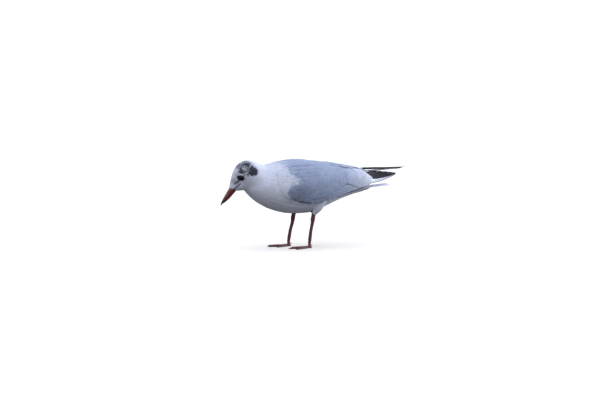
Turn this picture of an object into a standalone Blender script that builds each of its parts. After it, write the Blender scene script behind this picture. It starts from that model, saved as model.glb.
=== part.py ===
"""A black-headed gull in winter plumage, standing with its bill lowered and its wing tips crossed.

Metres, +Z up. The bill points to -X and the left side is at -Y. The floor is at Z = 0 and the origin
lies on it, under the middle of the bird. Lengths below are written in centimetres and scaled by CM.
"""

import math

import bmesh
import bpy
import numpy as np
from mathutils import Matrix, Vector
from mathutils.bvhtree import BVHTree

CM = 0.01
GAP = 0.03                      # clearance between two solids that meet, cm

# ---------------------------------------------------------------- driving dimensions, cm
RING_SIDES = 28                 # points round a body section
RINGS_PER_STATION = 2           # body sections made between two stations
EYE_RADIUS = 0.45
EYE_CENTRE = (-13.74, 1.20, 12.53)
EYE_SIDES = 14
GAPE = (-13.91, 11.58)          # corner of the mouth, X and Z
BILL_PITCH = math.radians(48.8)  # how far the bill points down
FLOOR_DEPTH = 30

# Colours: linear RGB, roughness
FINISHES = {
    "white_plumage": ((0.80, 0.81, 0.84), 0.85),
    "grey_plumage": ((0.36, 0.39, 0.46), 0.80),
    "black_plumage": ((0.03, 0.03, 0.04), 0.60),
    "bill": ((0.16, 0.025, 0.02), 0.35),
    "leg": ((0.20, 0.045, 0.035), 0.50),
    "eye": ((0.01, 0.008, 0.007), 0.08),
}

# Sections of head, neck and trunk from bill to tail, each a slanted ring: its highest and lowest point
# (X, Z) on the bird's middle plane, its half width, and how far below the middle it is widest (share).
STATIONS = [
    # name            top             bottom          half width  low
    ("bill base",     (-15.56, 10.62), (-14.52, 10.20), 0.46, 0.00),
    ("lores",         (-15.28, 11.60), (-14.18, 10.16), 0.82, 0.02),
    ("forehead",      (-14.92, 12.72), (-13.93, 10.14), 1.16, 0.05),
    ("eye",           (-14.50, 13.74), (-13.68, 10.14), 1.44, 0.05),
    ("crown",         (-13.78, 14.68), (-13.36, 10.16), 1.66, 0.03),
    ("ear",           (-12.70, 15.18), (-13.03, 10.18), 1.84, 0.04),
    ("nape",          (-11.50, 15.16), (-12.76, 10.16), 2.02, 0.08),
    ("hind neck",     (-10.30, 14.74), (-12.48, 9.98), 2.34, 0.10),
    ("neck base",     (-9.15, 14.30), (-12.12, 9.56), 2.84, 0.10),
    ("shoulder",      (-7.90, 14.54), (-11.42, 8.88), 3.38, 0.10),
    ("breast",        (-6.40, 14.86), (-10.23, 7.92), 3.84, 0.10),
    ("mantle",        (-4.60, 15.08), (-8.30, 6.88), 4.16, 0.08),
    ("keel",          (-2.60, 15.08), (-5.70, 6.08), 4.24, 0.06),
    ("belly",         (-0.60, 14.82), (-3.00, 5.86), 4.10, 0.04),
    ("thighs",        (1.40, 14.32), (-0.40, 5.98), 3.76, 0.02),
    ("back",          (3.60, 13.62), (2.00, 6.84), 3.18, 0.00),
    ("vent",          (5.80, 12.80), (4.40, 7.78), 2.50, 0.00),
    ("rump",          (7.80, 11.80), (6.80, 8.56), 1.92, 0.00),
    ("tail coverts",  (9.60, 10.64), (9.10, 9.10), 1.52, 0.00),
    ("coverts' end",  (10.60, 10.26), (10.40, 9.46), 1.10, 0.00),
]

# Cuts that part the body: a point (X, Z) on the cut and the way (X, Z) to the tail across it.
HEAD_CUT = ((-11.75, 12.60), (0.90, -0.28))
NECK_CUT = ((-9.90, 11.70), (0.80, -0.50))
RUMP_CUT = ((4.40, 10.60), (1.00, -0.10))

# The folded left wing, front to back: X, upper edge (Y, Z), lower edge (Y, Z), bulge and thickness.
WING_SECTIONS = [
    (-7.90, (-2.10, 12.50), (-2.60, 11.20), 0.30, 0.40),
    (-7.20, (-1.95, 13.60), (-3.00, 9.80), 0.80, 0.60),
    (-5.60, (-1.95, 14.30), (-3.55, 8.60), 1.10, 0.76),
    (-3.40, (-1.80, 14.56), (-3.88, 7.98), 1.24, 0.90),
    (-1.20, (-1.30, 14.60), (-3.86, 7.86), 1.40, 0.84),
    (1.00, (-0.78, 14.48), (-3.72, 8.06), 1.42, 0.80),
    (3.30, (-0.34, 14.10), (-3.42, 8.54), 1.22, 0.72),
    (5.50, (-0.16, 13.68), (-3.02, 9.12), 0.93, 0.62),
    (7.50, (-0.13, 13.33), (-2.62, 9.66), 0.62, 0.52),
    (9.00, (-0.22, 12.96), (-2.34, 10.06), 0.46, 0.44),
    (10.00, (-0.46, 12.45), (-2.10, 10.52), 0.28, 0.34),
    (10.55, (-0.80, 11.98), (-1.75, 11.10), 0.10, 0.20),
]

WING_PROUD = 0.14               # least height of the wing's surface over the body's
WING_LIFT = {-1: 0.0, 1: 0.14}    # how much higher the upper edge lies, as the right wing is folded last

# The primaries behind each wing, written for the left: X, upper edge (Y, Z), lower edge (Y, Z), bulge and
# thickness. They start inside the wing, and a positive Y has crossed the middle. The right tip lies on top.
LEFT_TIP = [
    (9.70, (-0.89, 12.30), (-1.98, 10.95), 0.14, 0.10),
    (10.50, (-0.74, 12.36), (-1.98, 10.46), 0.14, 0.20),
    (12.10, (-0.15, 12.32), (-1.45, 10.86), 0.05, 0.20),
    (14.00, (0.25, 12.24), (-0.62, 11.38), 0.03, 0.18),
    (15.40, (0.42, 12.14), (0.00, 11.72), 0.02, 0.15),
    (16.10, (0.44, 12.02), (0.28, 11.90), 0.02, 0.12),
]
RIGHT_TIP = [
    (9.70, (-0.89, 12.40), (-1.98, 10.97), 0.14, 0.10),
    (10.50, (-0.06, 12.90), (-1.94, 11.24), 0.14, 0.20),
    (12.10, (0.50, 12.98), (-1.35, 12.10), 0.05, 0.20),
    (14.20, (0.98, 13.02), (-0.30, 12.70), 0.03, 0.18),
    (16.20, (1.14, 13.08), (0.60, 13.00), 0.02, 0.15),
    (17.10, (1.20, 13.12), (1.04, 13.10), 0.02, 0.12),
]

# The closed tail: X, half width, height of its middle, thickness.
TAIL_SECTIONS = [
    (8.00, 1.10, 9.72, 0.60),
    (10.40, 1.50, 9.84, 0.46),
    (12.40, 1.80, 9.98, 0.30),
    (13.60, 1.95, 10.07, 0.22),
    (14.05, 1.85, 10.10, 0.16),
    (14.25, 1.55, 10.12, 0.16),
]

# Each leg: side (-1 left, 1 right), the ankle and the foot's joint (X, Z), distance from the middle.
LEGS = {
    "left": (-1, (-0.98, 5.00), (-1.64, 0.80), 2.05),
    "right": (1, (-2.82, 4.86), (-3.66, 0.80), 2.05),
}
FEATHERS_OVER_ANKLE = 0.62
# Radii down the drumstick, down the bare leg from the drumstick to the foot's joint, and from there down.
THIGH_RADII = [1.60, 1.05, 0.40, 0.30]
LEG_RADII = [0.24, 0.31, 0.235, 0.19, 0.20, 0.22]
SHANK_RADII = [0.22, 0.22, 0.26, 0.20]

# The toes: name, the way they point (degrees outward from straight ahead), length.
TOES = [("inner", -27.0, 2.75), ("middle", 0.0, 3.55), ("outer", 27.0, 3.20)]
TOE_RADII = [0.17, 0.238, 0.179, 0.162, 0.11]   # along a toe, from the pad under the foot's joint
HEEL = 0.34                     # how far that pad reaches back
SOLE = 0.80                     # how high a toe's middle lies, as a share of its radius
WEB_THICKNESS = 0.09
WEB_SAG = 0.16                  # how far the web's front edge curves in, as a share of a toe's length
CLAW_LENGTH = 0.42
CLAW_RADII = [0.085, 0.07, 0.025]
# The small hind toe stands off the floor: its points behind the foot's joint (X), inwards (Y) and up (Z).
HIND_TOE = [(0.00, 0.00, 0.46), (0.38, -0.05, 0.52), (0.66, -0.08, 0.40)]
HIND_TOE_RADII = [0.13, 0.09, 0.03]


# ---------------------------------------------------------------- helpers
def clear_scene():
    for obj in list(bpy.data.objects):
        bpy.data.objects.remove(obj)


def collection(name):
    made = bpy.data.collections.new(name)
    bpy.context.scene.collection.children.link(made)
    return made


def finish(name):
    """The material for a kind of surface, made once."""
    found = bpy.data.materials.get(name)
    if found:
        return found
    colour, roughness = FINISHES[name]
    made = bpy.data.materials.new(name)
    made.use_nodes = True
    shader = made.node_tree.nodes["Principled BSDF"]
    shader.inputs["Base Color"].default_value = (*colour, 1.0)
    shader.inputs["Roughness"].default_value = roughness
    shader.inputs["Metallic"].default_value = 0.0
    return made


def new_object(name, bm, where, material):
    """An object from a bmesh, with its origin in the middle of its bounds and the bird as its parent."""
    bmesh.ops.recalc_face_normals(bm, faces=bm.faces)
    points = np.array([v.co for v in bm.verts])
    middle = Vector((points.min(axis=0) + points.max(axis=0)) / 2)
    bmesh.ops.translate(bm, verts=bm.verts, vec=-middle)
    mesh = bpy.data.meshes.new(name)
    bm.to_mesh(mesh)
    bm.free()
    obj = bpy.data.objects.new(name, mesh)
    obj.location = middle
    obj.parent = bpy.data.objects["bird"]
    where.objects.link(obj)
    mesh.materials.append(finish(material))
    mesh.shade_smooth()
    return obj


def as_cutter(obj):
    obj.hide_render = True
    obj.display_type = "WIRE"
    return obj


def minus(obj, *cutters):
    for cutter in cutters:
        modifier = obj.modifiers.new("less " + cutter.name, "BOOLEAN")
        modifier.operation = "DIFFERENCE"
        modifier.object = cutter
    return obj


def plus(obj, *others):
    for other in others:
        modifier = obj.modifiers.new("with " + other.name, "BOOLEAN")
        modifier.operation = "UNION"
        modifier.object = other
    return obj


def eased(rows, per_gap):
    """Rows of numbers with others between them, on a Catmull-Rom curve through each column."""
    rows = np.array(rows, float)
    padded = np.vstack([2 * rows[0] - rows[1], rows, 2 * rows[-1] - rows[-2]])
    found = []
    for i in range(len(rows) - 1):
        before, start, end, after = padded[i:i + 4]
        for t in np.arange(per_gap) / per_gap:
            found.append(0.5 * (2 * start + (end - before) * t
                                + (2 * before - 5 * start + 4 * end - after) * t ** 2
                                + (3 * start - before - 3 * end + after) * t ** 3))
    found.append(rows[-1])
    return found


def loft(rings):
    """A closed bmesh through rings of points, with a flat cap on each end."""
    bm = bmesh.new()
    loops = [[bm.verts.new(Vector(p) * CM) for p in ring] for ring in rings]
    for one, two in zip(loops, loops[1:]):
        for i in range(len(one)):
            j = (i + 1) % len(one)
            bm.faces.new((one[i], one[j], two[j], two[i]))
    bm.faces.new(loops[0])
    bm.faces.new(loops[-1])
    bmesh.ops.recalc_face_normals(bm, faces=bm.faces)
    return bm


def keep_beyond(bm, point, way):
    """Cuts a closed bmesh by a plane and keeps the side that way points to, capped."""
    everything = bm.verts[:] + bm.edges[:] + bm.faces[:]
    cut = bmesh.ops.bisect_plane(bm, geom=everything, plane_co=point, plane_no=way, clear_inner=True)
    rim = [e for e in cut["geom_cut"] if isinstance(e, bmesh.types.BMEdge)]
    bmesh.ops.contextual_create(bm, geom=rim)


# ---------------------------------------------------------------- body
def body_ring(top, bottom, half_width, low, grown):
    """One slanted section through head, neck or trunk, an oval that is widest a little below its middle."""
    top, bottom = Vector((top[0], 0, top[1])), Vector((bottom[0], 0, bottom[1]))
    middle, up = (top + bottom) / 2, (top - bottom) / 2
    tall = up.length
    up.normalize()
    points = []
    for i in range(RING_SIDES):
        angle = 2 * math.pi * (i + 0.5) / RING_SIDES
        height = math.cos(angle) - low * math.sin(angle) ** 2
        across = Vector((0, math.sin(angle), 0)) * (half_width + grown)
        points.append(middle + up * height * (tall + grown) + across)
    return points


def body_bmesh(grown=0.0):
    rows = [(*top, *bottom, half, low) for _, top, bottom, half, low in STATIONS]
    rings = [body_ring(r[0:2], r[2:4], r[4], r[5], grown) for r in eased(rows, RINGS_PER_STATION)]
    if grown:
        forward = Vector((rings[0][0] - rings[1][0])).normalized()
        rings.insert(0, [p + forward * 2 * grown for p in rings[0]])
        rings.append([p + Vector((grown, 0, 0)) for p in rings[-1]])
    return loft(rings)


def body_piece(name, where, material, after=None, before=None):
    """The stretch of the body between two cuts, each half a gap away from its cut."""
    bm = body_bmesh()
    for cut, sign in ((after, 1), (before, -1)):
        if cut:
            way = Vector((cut[1][0], 0, cut[1][1])).normalized() * sign
            point = Vector((cut[0][0], 0, cut[0][1])) + way * GAP / 2
            keep_beyond(bm, point * CM, way)
    return new_object(name, bm, where, material)


def ball(name, centre, radius, where, material):
    """A sphere with its poles to the bird's sides."""
    place = Matrix.Translation(Vector(centre) * CM) @ Matrix.Rotation(math.pi / 2, 4, "X")
    bm = bmesh.new()
    bmesh.ops.create_uvsphere(bm, u_segments=EYE_SIDES, v_segments=EYE_SIDES // 2, radius=radius * CM,
                              matrix=place)
    return new_object(name, bm, where, material)


# ---------------------------------------------------------------- bill
def bill_point(forward, side, up):
    """A point in the bill's own axes, from the corner of the mouth along the line where the bill shuts."""
    f = Vector((-math.cos(BILL_PITCH), 0, -math.sin(BILL_PITCH)))
    n = Vector((-math.sin(BILL_PITCH), 0, math.cos(BILL_PITCH)))
    return Vector((GAPE[0], 0, GAPE[1])) + f * forward + n * up + Vector((0, side, 0))


# Each half of the bill, base to tip: how far forward its edge and its ridge lie, the ridge's height over
# the line of the mouth, and the half width.
UPPER_BILL = [
    (1.52, 1.92, 0.62, 0.42),
    (2.10, 2.40, 0.56, 0.36),
    (2.90, 3.05, 0.47, 0.28),
    (3.60, 3.66, 0.38, 0.21),
    (4.20, 4.20, 0.27, 0.15),
    (4.62, 4.62, 0.14, 0.10),
    (4.86, 4.88, 0.00, 0.05),
]
LOWER_BILL = [
    (1.52, 1.46, -0.42, 0.38),
    (2.10, 2.05, -0.39, 0.31),
    (2.80, 2.78, -0.35, 0.24),
    (3.30, 3.30, -0.31, 0.19),
    (3.90, 3.90, -0.20, 0.14),
    (4.40, 4.36, -0.11, 0.08),
]
BILL_SIDES = 12
BILL_TIP_DROP = -0.10           # the upper half hooks a little below the line of the mouth


def bill_half(name, rows, where, sign):
    """Half of the bill: a flat side along the mouth and an arched side."""
    rings = []
    last = rows[-1][0]
    for edge, ridge, height, half in eased(rows, 2):
        shut = GAP / 2 * sign
        if sign > 0:
            shut += BILL_TIP_DROP * max(0.0, (edge - 3.9) / (last - 3.9)) ** 2
        ring = []
        for i in range(BILL_SIDES + 1):
            angle = math.pi * i / BILL_SIDES
            arch = math.sin(angle) ** 0.8
            up = shut + (height - shut) * arch
            ring.append(bill_point(edge + (ridge - edge) * arch, half * math.cos(angle), up))
        rings.append(ring)
    return new_object(name, loft(rings), where, "bill")


# ---------------------------------------------------------------- wings and tail
WING_SIDES = 10
TIP_SIDES = 6
TAIL_SIDES = 16


def blade_ring(x, upper, lower, bulge, thick, side, grown=0.0, sides=WING_SIDES):
    """A section across a folded wing: a plate bowed outwards, with rounded edges. Side 1 mirrors it."""
    upper, lower = Vector((0, *upper)), Vector((0, *lower))
    chord = lower - upper
    length = chord.length
    along = chord / length
    outward = Vector((0, along.z, -along.y))
    outer, inner = [], []
    for i in range(sides + 1):
        t = i / sides
        place = upper + along * (t * (length + 2 * grown) - grown)
        place += outward * bulge * math.sin(math.pi * t) ** 0.9
        half = (thick / 2) * (0.22 + 0.78 * math.sin(math.pi * t) ** 0.6) + grown
        outer.append(place + outward * half)
        inner.append(place - outward * half)
    ring = outer + inner[::-1]
    return [Vector((x, p.y * -side, p.z)) for p in ring]


def outside(point, tree):
    """The point, or the nearest one on a closed surface if it lies inside that surface."""
    near, normal, _, _ = tree.find_nearest(point * CM)
    return near / CM if (point * CM - near).dot(normal) < 0 else point


def wing_bmesh(side, grown=0.0):
    rows = [(x, upper[0], upper[1] + WING_LIFT[side], *lower, bulge, thick)
            for x, upper, lower, bulge, thick in WING_SECTIONS]
    rings = [blade_ring(r[0], r[1:3], r[3:5], r[5], r[6], side, grown) for r in eased(rows, 2)]
    body = BVHTree.FromBMesh(body_bmesh(WING_PROUD + grown))
    for ring in rings:
        for i in range(WING_SIDES + 1):
            ring[i] = outside(ring[i], body)
    if grown:
        rings.append([p + Vector((grown, 0, 0)) for p in rings[-1]])
        rings.insert(0, [p - Vector((grown, 0, 0)) for p in rings[0]])
    return loft(rings)


def tip_bmesh(sections, side):
    """The bunch of primaries that sticks out behind a wing."""
    rows = [(x, *upper, *lower, bulge, thick) for x, upper, lower, bulge, thick in sections]
    return loft([blade_ring(r[0], r[1:3], r[3:5], r[5], r[6], side, sides=TIP_SIDES) for r in eased(rows, 3)])


def tail_bmesh():
    rings = []
    for x, half, height, thick in eased(TAIL_SECTIONS, 2):
        ring = []
        for i in range(TAIL_SIDES):
            angle = 2 * math.pi * i / TAIL_SIDES
            across = math.cos(angle)
            crown = 0.10 * (1 - across ** 2)
            edge = math.copysign(abs(math.sin(angle)) ** 0.7, math.sin(angle))
            ring.append((x, half * across, height + crown + thick / 2 * edge))
        rings.append(ring)
    return loft(rings)


# ---------------------------------------------------------------- legs
def tube(name, points, radii, where, material, cuts=(), fine=3):
    """A tapering limb: a curve with a round bevel, made a mesh and cut to planes at its ends."""
    curve = bpy.data.curves.new(name, "CURVE")
    curve.dimensions = "3D"
    curve.bevel_depth = CM
    curve.bevel_resolution = fine
    curve.use_fill_caps = True
    spline = curve.splines.new("POLY")
    rows = eased([(*p, r) for p, r in zip(points, radii)], max(1, fine - 1))
    spline.points.add(len(rows) - 1)
    for point, row in zip(spline.points, rows):
        point.co = (row[0] * CM, row[1] * CM, row[2] * CM, 1.0)
        point.radius = row[3]
    guide = bpy.data.objects.new(name + " guide", curve)
    where.objects.link(guide)
    mesh = bpy.data.meshes.new_from_object(guide.evaluated_get(bpy.context.evaluated_depsgraph_get()))
    bpy.data.objects.remove(guide)
    bm = bmesh.new()
    bm.from_mesh(mesh)
    bmesh.ops.remove_doubles(bm, verts=bm.verts, dist=1e-6)
    for point, way in cuts:
        keep_beyond(bm, Vector(point) * CM, Vector(way).normalized())
    return new_object(name, bm, where, material)


def shank_cut(side, ankle, offset):
    """Where the drumstick's feathers end on the shin: a point and the way up the leg."""
    point = Vector((ankle[0] + 0.16, side * offset, ankle[1] + FEATHERS_OVER_ANKLE))
    return point, Vector((0.20, 0, 1)).normalized()


def thigh(name, side, ankle, offset, where):
    """The feathered drumstick, from inside the belly to just over the ankle."""
    point, up = shank_cut(side, ankle, offset)
    top = Vector((ankle[0] + 1.00, side * (offset - 0.10), ankle[1] + 3.1))
    middle = Vector((ankle[0] + 0.55, side * offset, ankle[1] + 1.65))
    points = [top, middle, point + up * 0.15, point - up * 0.3]
    return tube(name, points, THIGH_RADII, where, "white_plumage", [(point + up * GAP / 2, up)])


def leg(name, side, ankle, foot, offset, where):
    """The bare shin: the end of the drumstick, the ankle and the long tarsus."""
    point, up = shank_cut(side, ankle, offset)
    knee = (ankle[0], side * offset, ankle[1])
    below = (ankle[0] - 0.10, side * offset, ankle[1] - 0.75)
    middle = ((ankle[0] + foot[0]) / 2 - 0.06, side * offset, (ankle[1] + foot[1]) / 2)
    low = (foot[0] + 0.06, side * offset, foot[1] + 0.40)
    end = (foot[0] - 0.02, side * offset, foot[1] - 0.2)
    cuts = [(point - up * GAP / 2, -up), ((foot[0], 0, foot[1] + GAP / 2), (0, 0, 1))]
    return tube(name, [point + up * 0.2, knee, below, middle, low, end], LEG_RADII, where, "leg", cuts)


def foot(name, side, joint, offset, where, helpers):
    """Three webbed toes and a small hind toe, flat underneath."""
    start = Vector((joint[0] - 0.06, side * offset, 0))
    tips, parts = [], []
    for toe, spread, length in TOES:
        angle = math.radians(spread) * side
        way = Vector((-math.cos(angle), math.sin(angle), 0))
        along = [start + Vector((HEEL, 0, 0)) - way * 0.08] + [start + way * length * i / 3 for i in range(4)]
        points = [p + Vector((0, 0, SOLE * radius)) for p, radius in zip(along, TOE_RADII)]
        claw = [start + way * (length + CLAW_LENGTH * t) + Vector((0, 0, high))
                for t, high in ((-0.35, 0.10), (0.45, 0.10), (1.0, 0.03))]
        parts.append(tube(f"{name} {toe} toe", points, TOE_RADII, helpers, "leg", fine=2))
        parts.append(tube(f"{name} {toe} claw", claw, CLAW_RADII, helpers, "leg", fine=1))
        tips.append(start + way * length * 0.93)
    hind = [Vector((joint[0] + x, side * (offset + y), z)) for x, y, z in HIND_TOE]
    parts.append(tube(f"{name} hind toe", hind, HIND_TOE_RADII, helpers, "leg", fine=2))
    parts.append(web(f"{name} web", start, tips, helpers))
    shank = [(joint[0] + 0.02, side * offset, joint[1] + 0.2), (joint[0], side * offset, joint[1]),
             start + Vector((0, 0, 0.36)), start + Vector((-0.14, 0, 0.12))]
    cut = ((joint[0], 0, joint[1] - GAP / 2), (0, 0, -1))
    obj = tube(name, shank, SHANK_RADII, where, "leg", [cut])
    plus(obj, *[as_cutter(part) for part in parts])
    return minus(obj, bpy.data.objects["floor cutter"])


def web(name, heel, tips, where):
    """The skin between the toes, its front edge curved in between the tips."""
    outline = [heel]
    for one, two in zip(tips, tips[1:]):
        middle = (one + two) / 2
        for t in np.linspace(0, 1, 6)[(0 if one is tips[0] else 1):]:
            outline.append(one.lerp(two, t) + (heel - middle) * math.sin(math.pi * t) * WEB_SAG)
    bm = bmesh.new()
    low = [bm.verts.new((p.x * CM, p.y * CM, -WEB_THICKNESS * CM)) for p in outline]
    high = [bm.verts.new((p.x * CM, p.y * CM, WEB_THICKNESS * CM)) for p in outline]
    for i in range(len(low)):
        j = (i + 1) % len(low)
        bm.faces.new((low[i], low[j], high[j], high[i]))
    bm.faces.new(low)
    bm.faces.new(high)
    return new_object(name, bm, where, "leg")


# ---------------------------------------------------------------- assembly
def main():
    clear_scene()
    gull = collection("gull")
    helpers = collection("cutters")
    gull.objects.link(bpy.data.objects.new("bird", None))

    grown_body = as_cutter(new_object("grown body", body_bmesh(GAP), helpers, "white_plumage"))
    under = Matrix.Translation((0, 0, -FLOOR_DEPTH * CM))
    floor = bmesh.new()
    bmesh.ops.create_cube(floor, size=2 * FLOOR_DEPTH * CM, matrix=under)
    as_cutter(new_object("floor cutter", floor, helpers, "leg"))

    head = body_piece("head", gull, "white_plumage", before=HEAD_CUT)
    body_piece("neck", gull, "white_plumage", after=HEAD_CUT, before=NECK_CUT)
    body_piece("trunk", gull, "white_plumage", after=NECK_CUT, before=RUMP_CUT)
    body_piece("rump", gull, "white_plumage", after=RUMP_CUT)
    for word, side in (("left", -1), ("right", 1)):
        centre = (EYE_CENTRE[0], side * EYE_CENTRE[1], EYE_CENTRE[2])
        ball(f"eye_{word}", centre, EYE_RADIUS, gull, "eye")
        minus(head, as_cutter(ball(f"socket {word}", centre, EYE_RADIUS + GAP, helpers, "eye")))

    bill_half("bill_upper", UPPER_BILL, gull, 1)
    bill_half("bill_lower", LOWER_BILL, gull, -1)

    minus(bpy.data.objects["bill_upper"], grown_body)
    minus(bpy.data.objects["bill_lower"], grown_body)

    for word, side, sections in (("left", -1, LEFT_TIP), ("right", 1, RIGHT_TIP)):
        wing = new_object(f"wing_{word}", wing_bmesh(side), gull, "grey_plumage")
        minus(wing, grown_body)
        grown = new_object(f"grown wing {word}", wing_bmesh(side, GAP), helpers, "grey_plumage")
        tip = new_object(f"primaries_{word}", tip_bmesh(sections, side), gull, "black_plumage")
        minus(tip, as_cutter(grown))
    minus(new_object("tail", tail_bmesh(), gull, "white_plumage"), grown_body)

    for word, (side, ankle, joint, offset) in LEGS.items():
        minus(thigh(f"thigh_{word}", side, ankle, offset, gull), grown_body)
        leg(f"leg_{word}", side, ankle, joint, offset, gull)
        foot(f"foot_{word}", side, joint, offset, gull, helpers)


main()
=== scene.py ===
# %% [markdown]
# # A black-headed gull in winter plumage, life size
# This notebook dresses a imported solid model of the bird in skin, feathers, horn and scales. The solids
# give every length: the bird faces -X, its left side is at -Y, and it stands on Z = 0. Sizes could be
# typed in metres, but a bird is measured in centimetres, so small sizes are too, and CM converts them.

# %% Load the frame
import itertools
import math

import bmesh
import bpy
import numpy as np
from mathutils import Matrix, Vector
from mathutils.bvhtree import BVHTree

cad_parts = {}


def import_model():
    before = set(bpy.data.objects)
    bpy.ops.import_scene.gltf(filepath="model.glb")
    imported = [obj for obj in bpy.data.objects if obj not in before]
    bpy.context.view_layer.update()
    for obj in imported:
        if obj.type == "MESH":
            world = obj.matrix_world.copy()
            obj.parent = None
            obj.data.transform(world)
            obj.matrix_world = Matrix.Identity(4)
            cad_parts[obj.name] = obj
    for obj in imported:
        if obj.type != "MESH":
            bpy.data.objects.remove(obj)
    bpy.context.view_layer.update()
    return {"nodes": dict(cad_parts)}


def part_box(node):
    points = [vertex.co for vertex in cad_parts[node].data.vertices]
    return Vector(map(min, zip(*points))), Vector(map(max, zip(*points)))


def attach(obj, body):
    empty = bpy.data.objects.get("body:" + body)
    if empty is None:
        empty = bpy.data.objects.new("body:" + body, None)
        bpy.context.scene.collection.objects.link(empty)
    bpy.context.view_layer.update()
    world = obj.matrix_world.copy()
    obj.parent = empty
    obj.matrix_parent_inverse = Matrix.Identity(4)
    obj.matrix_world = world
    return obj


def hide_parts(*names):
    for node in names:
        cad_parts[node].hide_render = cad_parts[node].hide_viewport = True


CM = 0.01
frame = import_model()
rng = np.random.default_rng(41)
FLESH = ["head", "neck", "trunk", "rump", "thigh_left", "thigh_right", "wing_left", "wing_right"]
SIDES = (("left", -1), ("right", 1))    # with the sign of Y there


def unit(rows):
    """Rows of numbers, each brought to length one. A row of zeros stays as it is."""
    return rows / np.maximum(np.linalg.norm(rows, axis=-1, keepdims=True), 1e-12)


def box_cm(node):
    """A solid's lowest and highest corner, in centimetres."""
    low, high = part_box(node)
    return np.array(low) / CM, np.array(high) / CM


eye_low, eye_high = box_cm("eye_left")
EYE_SHIFT = (-0.20, 0.0, -0.12)     # a little ahead of the solid's middle and below it
EYE = (eye_low + eye_high) / 2 + EYE_SHIFT
EYE_RADIUS = (eye_high[2] - eye_low[2]) / 2
bill_low, bill_high = box_cm("bill_upper")
BILL_BASE = np.array([bill_high[0], 0.0, bill_high[2]])
print("eye at", EYE.round(2), "cm, radius", round(EYE_RADIUS, 2), "cm")

# %% [markdown]
# ## Writing shaders as sums
# A finish is mostly arithmetic: so much grey, less of it where the head is dark. It could be wired up node
# by node, but a sum is easier to read than a web. So Value wraps a socket, and each Python operator on it
# adds one Math node, while Paint is a material with one method for every other kind of node.

# %% Shader arithmetic
class Value:
    """A number that varies over a surface. Operators on it add Math nodes."""

    def __init__(self, paint, socket):
        self.paint = paint
        self.socket = socket

    def math(self, operation, *others):
        values = {i: v for i, v in enumerate((self, *others))}
        return self.paint.node("ShaderNodeMath", {"operation": operation}, values)

    def __add__(self, other):
        return self.math("ADD", other)

    def __sub__(self, other):
        return self.math("SUBTRACT", other)

    def __rsub__(self, other):
        return self.paint.node("ShaderNodeMath", {"operation": "SUBTRACT"}, {0: other, 1: self})

    def __mul__(self, other):
        return self.math("MULTIPLY", other)

    __radd__ = __add__
    __rmul__ = __mul__

    def step(self, low, high):
        """Rises smoothly from 0 to 1 as the value goes from low to high."""
        settings = {"interpolation_type": "SMOOTHSTEP"}
        return self.paint.node("ShaderNodeMapRange", settings, {0: self, 1: low, 2: high})


class Paint:
    """A material whose nodes are added by one method."""

    def __init__(self, name):
        self.material = bpy.data.materials.new(name)
        self.material.use_nodes = True
        self.tree = self.material.node_tree
        self.shader = self.tree.nodes["Principled BSDF"]

    @classmethod
    def over(cls, tree):
        """The same helper on a tree that is there already, such as the world's."""
        paint = cls.__new__(cls)
        paint.tree = tree
        return paint

    def put(self, socket, value):
        if isinstance(value, Value):
            self.tree.links.new(value.socket, socket)
        elif isinstance(value, tuple) and len(value) == 3 and socket.type == "RGBA":
            socket.default_value = (*value, 1.0)
        else:
            socket.default_value = value

    def node(self, kind, settings=None, sockets=None, out=0):
        made = self.tree.nodes.new(kind)
        for name, setting in (settings or {}).items():
            setattr(made, name, setting)
        for key, value in (sockets or {}).items():
            self.put(made.inputs[key], value)
        return Value(self, made.outputs[out])

    def attribute(self, name):
        return self.node("ShaderNodeAttribute", {"attribute_name": name}, out="Fac")

    def place(self):
        return self.node("ShaderNodeTexCoord", out="Object")

    def noise(self, scale, detail=3.0, at=None):
        sockets = {"Vector": at or self.place(), "Scale": scale, "Detail": detail}
        return self.node("ShaderNodeTexNoise", None, sockets, out="Fac")

    def mix(self, factor, one, two, blend="MIX"):
        settings = {"data_type": "RGBA", "blend_type": blend, "clamp_factor": True}
        return self.node("ShaderNodeMix", settings, {"Factor": factor, 6: one, 7: two}, out=2)

    def bump(self, height, distance, strength=1.0):
        sockets = {"Height": height, "Distance": distance, "Strength": strength}
        return self.node("ShaderNodeBump", None, sockets)

    def finish(self, **sockets):
        """Sets the shader's sockets, named with _ for a space."""
        for name, value in sockets.items():
            self.put(self.shader.inputs[name.replace("_", " ")], value)
        return self.material

# %% [markdown]
# ## Reading the solids
# The folded wing has a curved upper and lower edge that coverts, quills and colours all follow. Both could
# be typed in again, but would then drift from the model. So they are read from the solid: it is cut across
# at many places along X, and the highest and lowest point of each cut are kept.

# %% Read the solids
def triangles_of(node):
    """A solid's triangles, in centimetres."""
    mesh = frame["nodes"][node].data
    mesh.calc_loop_triangles()
    corners = np.empty(len(mesh.loop_triangles) * 3, int)
    mesh.loop_triangles.foreach_get("vertices", corners)
    flat = np.empty(len(mesh.vertices) * 3)
    mesh.vertices.foreach_get("co", flat)
    return flat.reshape(-1, 3)[corners].reshape(-1, 3, 3) / CM


def cut_across(triangles, axis, at):
    """The points where a plane across an axis cuts the triangles' edges."""
    found = []
    for i, j in ((0, 1), (1, 2), (2, 0)):
        one, two = triangles[:, i], triangles[:, j]
        crossed = (one[:, axis] - at) * (two[:, axis] - at) < 0
        one, two = one[crossed], two[crossed]
        share = (at - one[:, axis]) / (two[:, axis] - one[:, axis])
        found.append(one + (two - one) * share[:, None])
    return np.concatenate(found)


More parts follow.
